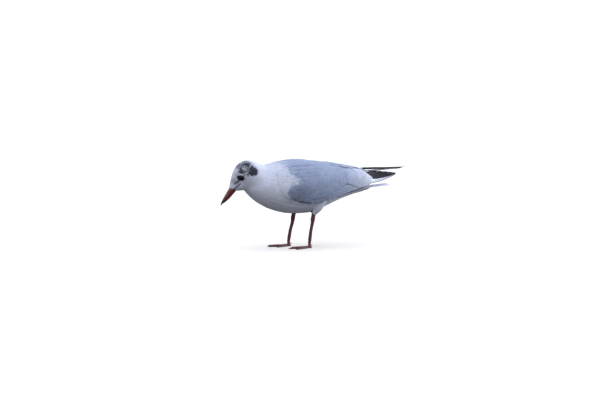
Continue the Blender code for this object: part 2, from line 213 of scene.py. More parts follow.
class Blade:
    """The upper and lower edge of a wing-like solid, read off along its length."""

    def __init__(self, node, steps=70):
        low, high = box_cm(node)
        triangles = triangles_of(node)
        self.x = np.linspace(low[0] + 0.06, high[0] - 0.04, steps)
        cuts = [cut_across(triangles, 0, x) for x in self.x]
        self.top = np.array([cut[cut[:, 2].argmax()] for cut in cuts])
        self.foot = np.array([cut[cut[:, 2].argmin()] for cut in cuts])

    def height(self, x, share):
        """How high the blade is at x, a share of the way down from its upper edge."""
        top = np.interp(x, self.x, self.top[:, 2])
        foot = np.interp(x, self.x, self.foot[:, 2])
        return top + (foot - top) * share


WINGS = {word: Blade(f"wing_{word}") for word, side in SIDES}
print("wing from X", WINGS["left"].x[0].round(2), "to", WINGS["left"].x[-1].round(2), "cm")

# %% [markdown]
# ## Where the colours lie
# In winter a black-headed gull is white below and pearl grey above, with a dark ear spot, a smudge round the
# eye and faint bands over the crown. The grey starts at a curved line down the side, where the white feathers
# of the breast lap over the wing's bend. Some shade is painted in as well, on the lores, the cheek, the
# wing's bend and the shoulder, and the folded wing's rear is paled partly as painted light from behind. This
# could be painted onto an unwrap, but plain functions of a place need none, and skin and feathers ask the
# same ones, so the two can't disagree.

# %% Markings
def smooth(value, low, high):
    t = np.clip((value - low) / (high - low), 0, 1)
    return t * t * (3 - 2 * t)


def spot(places, centre, radii, soft=0.35, tilt=0.0):
    """1 inside an oval on both sides of the bird, seen from the side, with a soft edge."""
    x = places[:, 0] - centre[0]
    z = places[:, 2] - centre[1]
    c, s = math.cos(tilt), math.sin(tilt)
    far = np.hypot((x * c + z * s) / radii[0], (z * c - x * s) / radii[1])
    return 1 - smooth(far, 1 - soft, 1 + soft)


# The grey's front line: height, and how far forward the grey reaches there, with its softness below.
GREY_LINE_Z = [7.5, 8.6, 9.4, 10.4, 11.0, 11.6, 12.3, 13.0, 13.8, 14.5, 15.4]
GREY_LINE_X = [-3.6, -5.4, -6.3, -6.4, -5.4, -4.4, -4.8, -5.4, -5.9, -6.4, -6.8]
GREY_SOFT_Z = [7.5, 10.0, 11.5, 12.5, 13.5, 15.4]
GREY_SOFT_X = [0.35, 0.70, 0.80, 1.10, 1.60, 2.10]


# The folded wing's grey fades towards its rear, partly for its feathers' pale ends and partly as painted
# light where light from behind falls on it.
PALE_AND_LIT_REAR = (4.2, 10.2)         # from and to where along X the folded wing pales
PALE_AND_LIT_SHARE = 0.85               # and how much of its grey goes


def rear_pale_and_painted_light(x):
    """How much of the grey is left towards the folded wing's rear, paled partly for its feathers' pale ends
    and partly as painted light from behind.
    """
    return 1 - PALE_AND_LIT_SHARE * smooth(x, *PALE_AND_LIT_REAR)


def grey_of(places):
    """The mantle's and wings' grey, from 0 to 1."""
    line = np.interp(places[:, 2], GREY_LINE_Z, GREY_LINE_X)
    soft = np.interp(places[:, 2], GREY_SOFT_Z, GREY_SOFT_X)
    behind = smooth(places[:, 0], line - soft, line + soft)
    foot = WINGS["left"].height(places[:, 0], 1.0)
    wing = behind * rear_pale_and_painted_light(places[:, 0]) * smooth(places[:, 2], foot - 0.05, foot + 0.25)
    nape = 0.24 * smooth(places[:, 0], -10.8, -8.0) * smooth(places[:, 2], 10.8, 13.2) * (1 - behind)
    return wing + nape


ex, ez = EYE[0], EYE[2]
# The dark ovals, some of them painted shade: strength, middle (X, Z), radii, softness of the edge, tilt.
DARK_MARKS_AND_PAINTED_SHADE = [
    (0.96, (ex + 2.34, ez + 1.00), (0.46, 0.54), 0.35, 0.00),     # the ear spot's core
    (0.86, (ex + 2.05, ez + 1.06), (0.94, 0.86), 0.28, 0.00),     # the ear spot
    (0.68, (ex + 0.95, ez + 1.10), (1.25, 1.05), 0.35, 0.00),     # the band from it to the eye
    (0.80, (ex + 0.20, ez + 1.00), (0.62, 0.48), 0.45, 0.15),     # over the eye
    (0.56, (ex - 0.45, ez + 0.50), (0.34, 0.50), 0.50, -0.35),    # before and over the eye
    (0.84, (ex + 1.25, ez + 2.10), (0.85, 0.42), 0.50, 0.10),     # the crown's band
    (0.70, (ex + 0.95, ez + 1.75), (1.50, 1.30), 0.35, 0.00),     # the crown
    (1.00, (ex + 0.00, ez + 0.00), (0.54, 0.52), 0.20, 0.00),     # round the eye
    (0.86, (ex - 0.22, ez + 0.04), (0.44, 0.42), 0.40, 0.00),     # before the eye
    (0.50, (ex + 0.60, ez - 0.10), (0.45, 0.40), 0.60, 0.00),     # behind the eye
    # Painted shade on the lores, where the lower face turns away from the light.
    (0.62, (ex - 0.70, ez - 0.60), (0.85, 0.75), 0.60, 0.00),     # the lores
    (0.78, (ex - 0.35, ez - 0.52), (1.20, 0.17), 0.60, 0.72),     # a line from the bill to the eye
    # Painted shade on the cheek, where the lower face turns away from the light.
    (0.40, (ex + 1.60, ez - 0.50), (1.80, 0.90), 0.60, 0.00),     # the cheek
    # These two are painted shade: under the breast's bulge at the wing's bend, and in a crease at the
    # shoulder.
    (0.36, (-4.70, 9.60), (2.30, 1.20), 0.50, 0.20),              # the wing's bend
    (0.20, (-1.80, 12.70), (1.10, 0.45), 0.60, -0.30),            # the shoulder
]


def dark_and_painted_shade_of(places):
    """The head's dark feathers, with painted shade on the lores and cheek and two faint ovals of painted
    shade on the wing.
    """
    found = np.zeros(len(places))
    for strength, centre, radii, soft, tilt in DARK_MARKS_AND_PAINTED_SHADE:
        found = np.maximum(found, strength * spot(places, centre, radii, soft, tilt))
    return found


CRESCENT_IN = (0.44, 0.50)      # where the white ring round the eye fades in
CRESCENT_OUT = (0.60, 0.68)     # and out again


def pale_of(places):
    """The white crescent over the eye and a fainter one under it."""
    x = places[:, 0] - EYE[0]
    z = places[:, 2] - EYE[2]
    far = np.hypot(x, z)
    ring = smooth(far, *CRESCENT_IN) * (1 - smooth(far, *CRESCENT_OUT))
    above = smooth(z, 0.30, 0.42) * smooth(x, -0.30, -0.10)
    below = smooth(-z, 0.30, 0.42) * smooth(x, -0.35, 0.0)
    return ring * np.maximum(above, 0.6 * below) * (np.abs(places[:, 1]) > 0.5)


MARKINGS = {"grey": grey_of, "dark": dark_and_painted_shade_of, "pale": pale_of}
print("markings:", len(DARK_MARKS_AND_PAINTED_SHADE), "dark ovals, grey from Z", GREY_LINE_Z[0], "to", GREY_LINE_Z[-1], "cm")

# %% [markdown]
# ## Sizes that follow the body
# A gull's feathers are under 3 mm long by the bill and over a centimetre on the flank, and the coat is
# thin on the face and deep on the belly. Each region could have its own numbers, but that leaves a step at
# every border. So length and depth are smooth functions of the distance from the bill, with shorter
# feathers round the eye and down the leg and longer ones under the tail.

# %% Sizes that follow the body
def thigh_side(places):
    """1 on the drumsticks, which hang below the belly on each side."""
    found = np.zeros(len(places))
    for word, side in SIDES:
        low, high = box_cm(f"thigh_{word}")
        middle = (low + high) / 2
        inside = np.abs(places[:, 0] - middle[0]) < (high[0] - low[0]) / 2 + 0.1
        inside &= np.abs(places[:, 1] - middle[1]) < (high[1] - low[1]) / 2 + 0.1
        found = np.maximum(found, inside)
    return found


def from_bill(places):
    return np.linalg.norm(places - BILL_BASE, axis=1)


def coat_depth(places):
    """How far the skin lies inside the feathers' tips, in centimetres."""
    depth = np.interp(from_bill(places), [0.5, 2.0, 4.0, 7.0, 11.0], [0.05, 0.08, 0.13, 0.22, 0.26])
    rear = smooth(places[:, 0], 4.5, 8.5) * smooth(np.abs(places[:, 1]), 0.0, 0.8)
    under = smooth(places[:, 2], 10.2, 9.4)
    return depth * (1 - 0.72 * rear * (1 - under))


def feather_length(places):
    """How long a small feather is where it grows, in centimetres."""
    length = np.interp(from_bill(places), [0.4, 1.5, 3.0, 5.0, 7.0, 10.0],
                       [0.26, 0.36, 0.52, 0.72, 0.92, 1.20])
    eye = np.hypot(places[:, 0] - EYE[0], places[:, 2] - EYE[2])
    near_eye = (1 - smooth(eye, 0.5, 1.3)) * (from_bill(places) < 6)
    vent = smooth(places[:, 0], 4.0, 8.0) * smooth(11.0 - places[:, 2], 0.0, 1.0)
    leg = smooth(-places[:, 2], -6.9, -6.0) * thigh_side(places)
    return length * (1 - 0.45 * near_eye) * (1 + 0.35 * vent) * (1 - 0.68 * leg)


flank = np.array([[0.0, -4.0, 9.0]])
print("on the flank: feathers of", feather_length(flank).round(2), "cm, coat", coat_depth(flank).round(2))

# %% [markdown]
# ## The skin
# Under its feathers the bird is one body without seams. The solids could be joined by Booleans, but the
# thin cuts between them would stay as grooves. So copies of them are remeshed as a whole in small voxels,
# which closes the cuts, and smoothed. The cheek's own curve is laid over the eye's place. The skin is then
# drawn inwards by the coat's depth, so that the feathers' tips end where the solids do.

# %% Build the skin
def merged(nodes):
    """One bmesh of several solids, with their loose triangles welded."""
    bm = bmesh.new()
    for name in nodes:
        bm.from_mesh(frame["nodes"][name].data)
    bmesh.ops.remove_doubles(bm, verts=bm.verts, dist=1e-6)
    return bm


def remeshed(name, nodes, voxel, rounds):
    """A closed, even mesh round several solids, smoothed some rounds."""
    bm = merged(nodes)
    mesh = bpy.data.meshes.new(name)
    bm.to_mesh(mesh)
    bm.free()
    obj = bpy.data.objects.new(name, mesh)
    bpy.context.scene.collection.objects.link(obj)
    remesh = obj.modifiers.new("one surface", "REMESH")
    remesh.mode = "VOXEL"
    remesh.voxel_size = voxel
    easing = obj.modifiers.new("smooth", "SMOOTH")
    easing.factor = 0.5
    easing.iterations = rounds
    result = bpy.data.meshes.new_from_object(obj.evaluated_get(bpy.context.evaluated_depsgraph_get()))
    obj.modifiers.clear()
    obj.data = result
    result.shade_smooth()
    return obj


def vectors(rows, key="vector", kind=float):
    """Blender's rows of vectors as one array."""
    flat = np.empty(len(rows) * 3, kind)
    rows.foreach_get(key, flat)
    return flat.reshape(-1, 3)


def points_of(mesh):
    return vectors(mesh.vertices, "co")


def normals_of(mesh):
    return vectors(mesh.vertex_normals)


def move_points(mesh, places):
    """Puts a mesh's points at places in centimetres."""
    mesh.vertices.foreach_set("co", (places * CM).ravel())
    mesh.update()


def write(mesh, name, values, kind="FLOAT", domain="POINT"):
    """Stores numbers on a mesh as a named attribute."""
    found = mesh.attributes.get(name) or mesh.attributes.new(name, kind, domain)
    key = "value" if kind == "FLOAT" else "vector"
    found.data.foreach_set(key, np.ascontiguousarray(values, np.float32).ravel())


SOCKET_RING = (0.70, 1.15)      # the sound cheek round the eye
SOCKET_EDGE = (0.60, 0.85)      # and where its curve takes over


def fill_socket(places, side):
    """Lays the cheek's own curve, fitted to a ring round the eye, over the eye's place."""
    middle = (eye_low + eye_high) / 2
    flat = places[:, [0, 2]] - middle[[0, 2]]
    far = np.hypot(*flat.T)
    x, z = flat.T
    terms = np.stack([np.ones(len(x)), x, z, x * x, x * z, z * z], axis=1)
    cheek = places[:, 1] * side > 0.4
    ring = (far > SOCKET_RING[0]) & (far < SOCKET_RING[1]) & cheek
    curve = np.linalg.lstsq(terms[ring], places[ring, 1], rcond=None)[0]
    places[:, 1] += (terms @ curve - places[:, 1]) * (1 - smooth(far, *SOCKET_EDGE)) * cheek


SKIN_VOXEL = 0.0013             # metres
SKIN_EASING = 9                 # rounds of smoothing
skin = remeshed("skin", [*FLESH, "eye_left", "eye_right"], SKIN_VOXEL, SKIN_EASING)
places = points_of(skin.data) / CM
for _, side in SIDES:
    fill_socket(places, side)
move_points(skin.data, places)
places -= normals_of(skin.data) * coat_depth(places)[:, None]
move_points(skin.data, places)
for name, rule in MARKINGS.items():
    write(skin.data, name, rule(places))
print("skin:", len(skin.data.polygons), "faces")

# %% [markdown]
# ## A flat map of the skin
# A baked colour needs a place on a flat map for every face. Each feather could have its own island, but
# thousands of them would waste the map. So only the skin is unfolded, by Smart UV Project, and each small
# feather takes a tiny patch at its root's place on that map.

# %% Unwrap the skin
skin.data.uv_layers.new(name="OFBake")
bpy.context.view_layer.objects.active = skin
skin.select_set(True)
bpy.ops.object.mode_set(mode="EDIT")
bpy.ops.mesh.select_all(action="SELECT")
bpy.ops.uv.smart_project(angle_limit=math.radians(66), island_margin=0.002)
bpy.ops.object.mode_set(mode="OBJECT")
skin.data.calc_loop_triangles()
print("skin unwrapped")

# %% [markdown]
# ## Where feathers grow and how they lie
# Body feathers point away from the bill and along the body, turn down the drumstick, and part round the
# eye. Roots could be set out in a grid, but a grid shows. So they are thrown at random on the skin and
# kept where no kept root is too near, which spaces them evenly, close on the face and wider on the body.
# Each feather's way is the line from the bill to its root, laid flat on the skin.

# %% Choose the roots
class Roots:
    """Places on the skin where feathers grow, with the skin's normal and unwrap there."""

    def __init__(self, places, normals, unwrap):
        self.places = places
        self.normals = normals
        self.unwrap = unwrap

    def only(self, keep):
        return Roots(self.places[keep], self.normals[keep], self.unwrap[keep])


def scatter(mesh, count):
    """Many random points on a mesh, evenly by area."""
    spots = points_of(mesh)
    normals = normals_of(mesh)
    flat = np.empty(len(mesh.loops) * 2)
    mesh.uv_layers["OFBake"].data.foreach_get("uv", flat)
    unwrap = flat.reshape(-1, 2)
    corners = np.empty(len(mesh.loop_triangles) * 3, int)
    mesh.loop_triangles.foreach_get("vertices", corners)
    loops = np.empty(len(mesh.loop_triangles) * 3, int)
    mesh.loop_triangles.foreach_get("loops", loops)
    corners, loops = corners.reshape(-1, 3), loops.reshape(-1, 3)
    a, b, c = (spots[corners[:, i]] for i in range(3))
    area = np.linalg.norm(np.cross(b - a, c - a), axis=1)
    chosen = rng.choice(len(corners), count, p=area / area.sum())
    u, v = rng.random((2, count))
    flip = u + v > 1
    u[flip], v[flip] = 1 - u[flip], 1 - v[flip]
    share = np.stack([1 - u - v, u, v], axis=1)[:, :, None]
    return Roots((spots[corners[chosen]] * share).sum(axis=1) / CM,
                 unit((normals[corners[chosen]] * share).sum(axis=1)),
                 (unwrap[loops[chosen]] * share).sum(axis=1))


def spaced(roots, gap):
    """Keeps those roots that have no kept root within their own gap."""
    cell = float(gap.max())
    grid, kept = {}, []
    cubes = np.floor(roots.places / cell).astype(int).tolist()
    for i, (place, cube) in enumerate(zip(roots.places.tolist(), cubes)):
        around = itertools.product(*((k - 1, k, k + 1) for k in cube))
        if all(math.dist(place, other) >= gap[i] for near in around for other in grid.get(near, ())):
            grid.setdefault(tuple(cube), []).append(place)
            kept.append(i)
    return roots.only(np.array(kept))


EYE_CLEAR = EYE_RADIUS - 0.01   # no feather lies nearer the eye's middle than this


def round_the_eye(places, way):
    """Parts the coat before each eye and closes it behind, as a stream parts round a stone."""
    flat = places[:, [0, 2]] - EYE[[0, 2]]
    far = np.hypot(*flat.T)
    turn = np.arctan2(flat[:, 1], flat[:, 0]) - np.arctan2(way[:, 2], way[:, 0])
    pull = np.clip(EYE_CLEAR / np.maximum(far, EYE_CLEAR), 0, 1) ** 2 * (far < 1.6) * 0.97
    ahead, aside = 1 - pull * np.cos(2 * turn), -pull * np.sin(2 * turn)
    turned = way.copy()
    turned[:, 0] = way[:, 0] * ahead - way[:, 2] * aside
    turned[:, 2] = way[:, 2] * ahead + way[:, 0] * aside
    return np.where((np.abs(places[:, 1]) > 0.5)[:, None], turned, way)


def laid_flat(way, normals):
    """Ways turned to lie flat on the skin, each of length one."""
    return unit(way - normals * (way * normals).sum(axis=1)[:, None])


ALONG_BODY = np.array([1.0, 0.0, 0.0])
DOWN_FLANK = np.array([0.0, 0.0, -0.22])
DOWN_LEG = np.array([-0.2, 0.0, -1.0])


def lie_of(roots):
    """Which way a feather points from its root, flat on the skin."""
    x, y, z = roots.places.T
    way = unit(roots.places - BILL_BASE)
    body = smooth(x, -10.5, -6.0)[:, None]
    way = way * (1 - body) + ALONG_BODY * body
    flank = (smooth(x, -8.0, -4.0) * smooth(np.abs(y), 1.5, 3.5))[:, None]
    way = way + flank * DOWN_FLANK
    leg = (1 - smooth(z, 5.9, 7.2))[:, None] * thigh_side(roots.places)[:, None]
    way = way * (1 - leg) + DOWN_LEG * leg
    return laid_flat(round_the_eye(roots.places, way), roots.normals)


GAP_SHARE = 0.22                # distance between roots, as a share of a feather's length
THROWN = 150000                 # roots thrown at the skin before any is taken away
roots = scatter(skin.data, THROWN)
roots = spaced(roots, feather_length(roots.places) * GAP_SHARE)
print("roots:", len(roots.places))

# %% [markdown]
# ## One vane
# A small feather is a thin rounded blade, a little cupped. It could be a flat card with a cut-out outline,
# but a card has no edge and no underside. So it is a closed shell of few faces, one unit long and one
# wide, made from rings of points round its flat section. Each point remembers how far along and across the
# vane it is, and whether it is on the upper or lower face.

# %% Make vane shapes
VANE_ROUND = 0.60               # the share of a vane's length where it is widest


def vane_width(along, point):
    """Half the width of a unit vane: narrow at the root, and blunter at the tip the higher point is."""
    base = np.clip(along / VANE_ROUND, 0, 1)
    tip = np.clip((along - VANE_ROUND) / (1 - VANE_ROUND), 0, 1)
    return 0.5 * (0.30 + 0.70 * base ** 0.8) * (1 - tip ** point) ** 0.60


def ring_order(columns):
    """Across and face of each point round a vane's section: over the top, then back underneath."""
    across = [2 * i / columns - 1 for i in range(columns + 1)]
    upper = [(a, 0.0 if abs(a) == 1 else 1.0) for a in across]
    return upper + [(a, -f) for a, f in reversed(upper[1:-1])]


def vane(name, rows, columns, point):
    """A closed unit vane along +Y, with its points' along, across and face stored."""
    bm = bmesh.new()
    layers = [bm.verts.layers.float.new(key) for key in ("along", "across", "face")]
    order = ring_order(columns)
    rings = []
    for i in range(rows + 1):
        along = 1 - (1 - i / rows) ** 1.7
        half = max(float(vane_width(along, point)), 0.02)
        ring = []
        for a, face in order:
            vert = bm.verts.new((a * half, along, 0.0))
            for layer, value in zip(layers, (along, a, face)):
                vert[layer] = value
            ring.append(vert)
        rings.append(ring)
    count = len(order)
    for one, two in zip(rings, rings[1:]):
        for k in range(count):
            bm.faces.new((one[k], two[k], two[(k + 1) % count], one[(k + 1) % count]))
    caps = [bm.faces.new(rings[0]), bm.faces.new(rings[-1][::-1])]
    for edge in bm.edges:
        rim = all(vert[layers[2]] == 0 for vert in edge.verts)
        edge.smooth = not (rim or any(cap in edge.link_faces for cap in caps))
    for face in bm.faces:
        face.smooth = True
    mesh = bpy.data.meshes.new(name)
    bm.to_mesh(mesh)
    bm.free()
    return bpy.data.objects.new(name, mesh)


BLUNTNESS = (0.88, 1.0, 1.15)   # the three vanes of a set, from sharper to blunter


def vane_set(name, rows, columns, point):
    """A collection of three vanes that differ a little at the tip."""
    found = bpy.data.collections.new(name)
    for i, change in enumerate(BLUNTNESS):
        found.objects.link(vane(f"{name} {i}", rows, columns, point * change))
    found["rows"] = rows + 1
    return found


FINE = vane_set("fine vanes", 5, 2, 1.35)
BROAD = vane_set("broad vanes", 6, 4, 2.1)
COVERT = vane_set("covert vanes", 12, 6, 2.1)

# %% [markdown]
# ## Planting feathers
# A coat lies like roof tiles: each feather covers the roots of those behind it. Hair strands could stand
# in for it, but they aren't solid vanes that hug the body. So Geometry Nodes set a vane on every root,
# realize them all and wrap them: each point goes to the nearest place on the skin, and from there up by a
# height that grows from root to tip. Each vane's unwrap is a small patch at its root's place.

# %% Build the feather tree
class Tree:
    """A Geometry Nodes tree whose nodes are added by one method."""

    def __init__(self, name):
        self.group = bpy.data.node_groups.new(name, "GeometryNodeTree")
        self.group.is_modifier = True
        self.group.interface.new_socket("Geometry", in_out="OUTPUT", socket_type="NodeSocketGeometry")

    def entry(self, name, kind, default=None):
        socket = self.group.interface.new_socket(name, in_out="INPUT", socket_type=f"NodeSocket{kind}")
        if default is not None:
            socket.default_value = default
        return socket.identifier

    def node(self, kind, settings=None, sockets=None, out=0):
        made = self.group.nodes.new(kind)
        for name, setting in (settings or {}).items():
            setattr(made, name, setting)
        for key, value in (sockets or {}).items():
            if isinstance(value, bpy.types.NodeSocket):
                self.group.links.new(value, made.inputs[key])
            else:
                made.inputs[key].default_value = value
        return made.outputs[out]

    def named(self, name, kind="FLOAT"):
        return self.node("GeometryNodeInputNamedAttribute", {"data_type": kind}, {"Name": name})

    def math(self, operation, *values):
        return self.node("ShaderNodeMath", {"operation": operation}, dict(enumerate(values)))

    def vector(self, operation, *values, scale=None):
        sockets = dict(enumerate(values))
        if scale is not None:
            sockets["Scale"] = scale
        return self.node("ShaderNodeVectorMath", {"operation": operation}, sockets)


PATCH = 0.003                   # one feather's share of the unwrap


def feather_tree():
    tree = Tree("plant feathers")
    keys = {
        "points": tree.entry("Points", "Geometry"),
        "skin": tree.entry("Skin", "Object"),
        "vanes": tree.entry("Vanes", "Collection"),
        "root height": tree.entry("Root height", "Float", 0.15),
        "cup": tree.entry("Cup", "Float", 0.05),
        "thickness": tree.entry("Thickness", "Float", 0.0001),
        "seed": tree.entry("Seed", "Int", 1),
        "material": tree.entry("Material", "Material"),
    }
    entry = tree.group.nodes.new("NodeGroupInput").outputs
    turn = tree.node("FunctionNodeAxesToRotation", {"primary_axis": "Z", "secondary_axis": "Y"},
                     {0: tree.named("normal", "FLOAT_VECTOR"), 1: tree.named("lie", "FLOAT_VECTOR")})
    size = tree.node("ShaderNodeCombineXYZ", None, {0: tree.named("width"), 1: tree.named("length"), 2: 1.0})
    choice = tree.node("FunctionNodeRandomValue", {"data_type": "INT"},
                       {4: 0, 5: 2, "Seed": entry["Seed"]}, out=2)
    kinds = tree.node("GeometryNodeCollectionInfo", None,
                      {"Collection": entry["Vanes"], "Separate Children": True, "Reset Children": True})
    sown = tree.node("GeometryNodeInstanceOnPoints", None,
                     {"Points": entry["Points"], "Instance": kinds, "Pick Instance": True,
                      "Instance Index": choice, "Rotation": turn, "Scale": size})
    grown = tree.node("GeometryNodeRealizeInstances", None, {"Geometry": sown})
    body = tree.node("GeometryNodeObjectInfo", {"transform_space": "RELATIVE"},
                     {"Object": entry["Skin"]}, out=4)
    where = tree.node("GeometryNodeInputPosition")
    nearest = {}
    for name, value in (("place", where), ("normal", tree.node("GeometryNodeInputNormal"))):
        nearest[name] = tree.node("GeometryNodeSampleNearestSurface", {"data_type": "FLOAT_VECTOR"},
                                  {"Mesh": body, "Value": value, "Sample Position": where})
    along = tree.named("along")
    rise = tree.math("MULTIPLY_ADD", along, tree.math("SUBTRACT", 1.0, entry["Root height"]),
                     entry["Root height"])
    bowed = tree.math("SUBTRACT", 1.0, tree.math("POWER", tree.named("across"), 2.0))
    cup = tree.math("MULTIPLY", tree.math("MULTIPLY", bowed, tree.named("width")), entry["Cup"])
    height = tree.math("MULTIPLY_ADD", rise, tree.named("depth"), cup)
    height = tree.math("MULTIPLY_ADD", tree.named("face"), entry["Thickness"], height)
    wrapped = tree.vector("ADD", nearest["place"], tree.vector("SCALE", nearest["normal"], scale=height))
    marked = tree.node("GeometryNodeStoreNamedAttribute", {"data_type": "FLOAT_VECTOR", "domain": "POINT"},
                       {"Geometry": grown, "Name": "coat normal", "Value": nearest["normal"]})
    for name in ("dark", "pale"):
        mark = tree.node("GeometryNodeSampleNearestSurface", {"data_type": "FLOAT"},
                         {"Mesh": body, "Value": tree.named(name), "Sample Position": where})
        marked = tree.node("GeometryNodeStoreNamedAttribute", {"data_type": "FLOAT", "domain": "POINT"},
                           {"Geometry": marked, "Name": name, "Value": mark})
    shaped = tree.node("GeometryNodeSetPosition", None, {"Geometry": marked, "Position": wrapped})
    u = tree.math("MULTIPLY_ADD", tree.named("across"), PATCH / 2, tree.named("root u"))
    v = tree.math("MULTIPLY_ADD", tree.math("SUBTRACT", along, 0.5), PATCH, tree.named("root v"))
    mapped = tree.node("GeometryNodeStoreNamedAttribute", {"data_type": "FLOAT2", "domain": "CORNER"},
                       {"Geometry": shaped, "Name": "OFBake",
                        "Value": tree.node("ShaderNodeCombineXYZ", None, {0: u, 1: v})})
    ended = tree.node("GeometryNodeSetMaterial", None, {"Geometry": mapped, "Material": entry["Material"]})
    tree.group.links.new(ended, tree.group.nodes.new("NodeGroupOutput").inputs[0])
    return tree.group, keys


PLANTING, PLANTING_KEYS = feather_tree()
print("feather tree:", len(PLANTING.nodes), "nodes")

# %% [markdown]
# ## The plumage's finish
# Feathers are matt, with a faint shaft down the middle, slanting barbs, and paler rims on the grey ones,
# and the head's dark marks break up into flecks. Skin and feathers could have a material each, but bare
# spots would show wherever the two differ. So they share one, which reads the markings stored on both, and
# the finer things follow each vane's own along and across.

# %% Plumage material
WHITE = (0.79, 0.82, 0.92)
GREY = (0.318, 0.376, 0.520)
SOOT = (0.034, 0.037, 0.053)
BARB_GAP = 0.0005               # distance between a vane's barbs, metres


def plumage():
    paint = Paint("plumage")
    along, across = paint.attribute("along"), paint.attribute("across")
    grey, dark, pale = (paint.attribute(name) for name in ("grey", "dark", "pale"))
    tone = paint.attribute("tone")
    drift = paint.noise(90.0, 4.0)
    base = paint.mix(grey, WHITE, GREY)
    rim = along.step(0.80, 1.0) * grey * 0.16
    base = paint.mix(rim, base, (0.62, 0.65, 0.72))
    flecks = paint.noise(700.0, 3.0) * 0.50 - 0.25 + tone * 0.20 - along.step(0.70, 1.0) * 0.10
    flecks = flecks * (1.00 - dark * 0.55) * dark.step(0.36, 0.44)
    dark = (dark + flecks).step(0.44, 0.82).math("MAXIMUM", dark * (0.62 + flecks * 0.4))
    base = paint.mix(dark, base, SOOT)
    base = paint.mix(pale * 0.8, base, (0.80, 0.80, 0.86))
    shaft = 1 - across.math("ABSOLUTE").step(0.0, 0.10)
    shade = 0.92 + 0.10 * drift + 0.05 * tone - 0.04 * shaft
    base = paint.mix(1.0, base, paint.node("ShaderNodeCombineColor", None, {0: shade, 1: shade, 2: shade}),
                     "MULTIPLY")
    size = paint.attribute("length")
    slant = (along - 0.35 * across.math("ABSOLUTE")) * size * (math.tau / BARB_GAP)
    barbs = slant.math("SINE") * 0.5 + 0.5
    normal = paint.bump(barbs * 0.6 + paint.noise(1600.0, 2.0), 0.0001, 0.35)
    return paint.finish(Base_Color=base, Roughness=0.76 + 0.14 * drift, Normal=normal,
                        Specular_IOR_Level=0.30, Sheen_Weight=0.20, Sheen_Roughness=0.5)


PLUMAGE = plumage()
skin.data.materials.append(PLUMAGE)
print("plumage:", len(PLUMAGE.node_tree.nodes), "nodes")

# %% [markdown]
# ## Growing a region
# The coat is grown region by region, each as one plain mesh. Where the body turns sharply, as at a wing's
# edge, a wrapped vane tears, and such feathers are taken out again. Real vanes knit together and show no
# hard rims. Finer meshes could do that, at many times the faces. So the shading normals are turned most
# of the way towards the body's instead.

# %% Grow the small feathers
GREY_STRAY = 0.32               # how far a feather's colour strays over the grey's front line
COAT_SHARE = 0.82               # how far a feather's shading follows the coat as a whole
RIM_SHARE = 0.95                # and how far its rims' shading does
ROOT_BACK = 0.10                # how far behind its root a vane starts, as a share of its length
SHOWN = 0.75                    # the place along a vane that gives it its colour
VANE_THICKNESS = 0.00005        # metres


def soften(mesh):
    """Turns the feathers' shading normals towards the body's, as soft plumage scatters light."""
    corner = np.empty(len(mesh.loops), int)
    mesh.loops.foreach_get("vertex_index", corner)
    counts = np.empty(len(mesh.polygons), int)
    mesh.polygons.foreach_get("loop_total", counts)
    coat, faces, turned = (vectors(rows, kind=np.float32) for rows in (
        mesh.attributes["coat normal"].data, mesh.polygon_normals, mesh.corner_normals))
    coat = coat[corner]
    facing = (np.repeat(faces, counts, axis=0) * coat).sum(axis=1)
    share = np.select([facing > 0.3, facing > -0.3], [COAT_SHARE, RIM_SHARE], 0.0)[:, None]
    mesh.normals_split_custom_set(unit(turned * (1 - share) + coat * share).tolist())
    mesh.attributes.remove(mesh.attributes["coat normal"])


MOST_TURN = -0.1                # the skin under a torn vane turns further from its root's (a cosine)
MOST_STRETCH = 2.0              # or one of its rows is longer than its middle one by more than this


def drop_torn(mesh, count, rows):
    """Deletes the feathers that wrap round an edge, where the nearest skin jumps to the other side."""
    coat = vectors(mesh.attributes["coat normal"].data, kind=np.float32).reshape(count, -1, 3)
    turned = (coat * coat[:, :1]).sum(axis=2).min(axis=1)
    spine = points_of(mesh).reshape(count, rows, -1, 3).mean(axis=2)
    along = np.empty(len(mesh.vertices), np.float32)
    mesh.attributes["along"].data.foreach_get("value", along)
    along = along.reshape(count, rows, -1)[:, :, 0]
    pace = np.linalg.norm(np.diff(spine, axis=1), axis=2) / np.diff(along, axis=1)
    torn = (turned < MOST_TURN) | (pace.max(axis=1) > MOST_STRETCH * np.median(pace, axis=1))
    bm = bmesh.new()
    bm.from_mesh(mesh)
    bm.verts.ensure_lookup_table()
    each = len(bm.verts) // count
    gone = [bm.verts[i * each + k] for i in np.flatnonzero(torn) for k in range(each)]
    bmesh.ops.delete(bm, geom=gone, context="VERTS")
    bm.to_mesh(mesh)
    bm.free()
    return int(torn.sum())


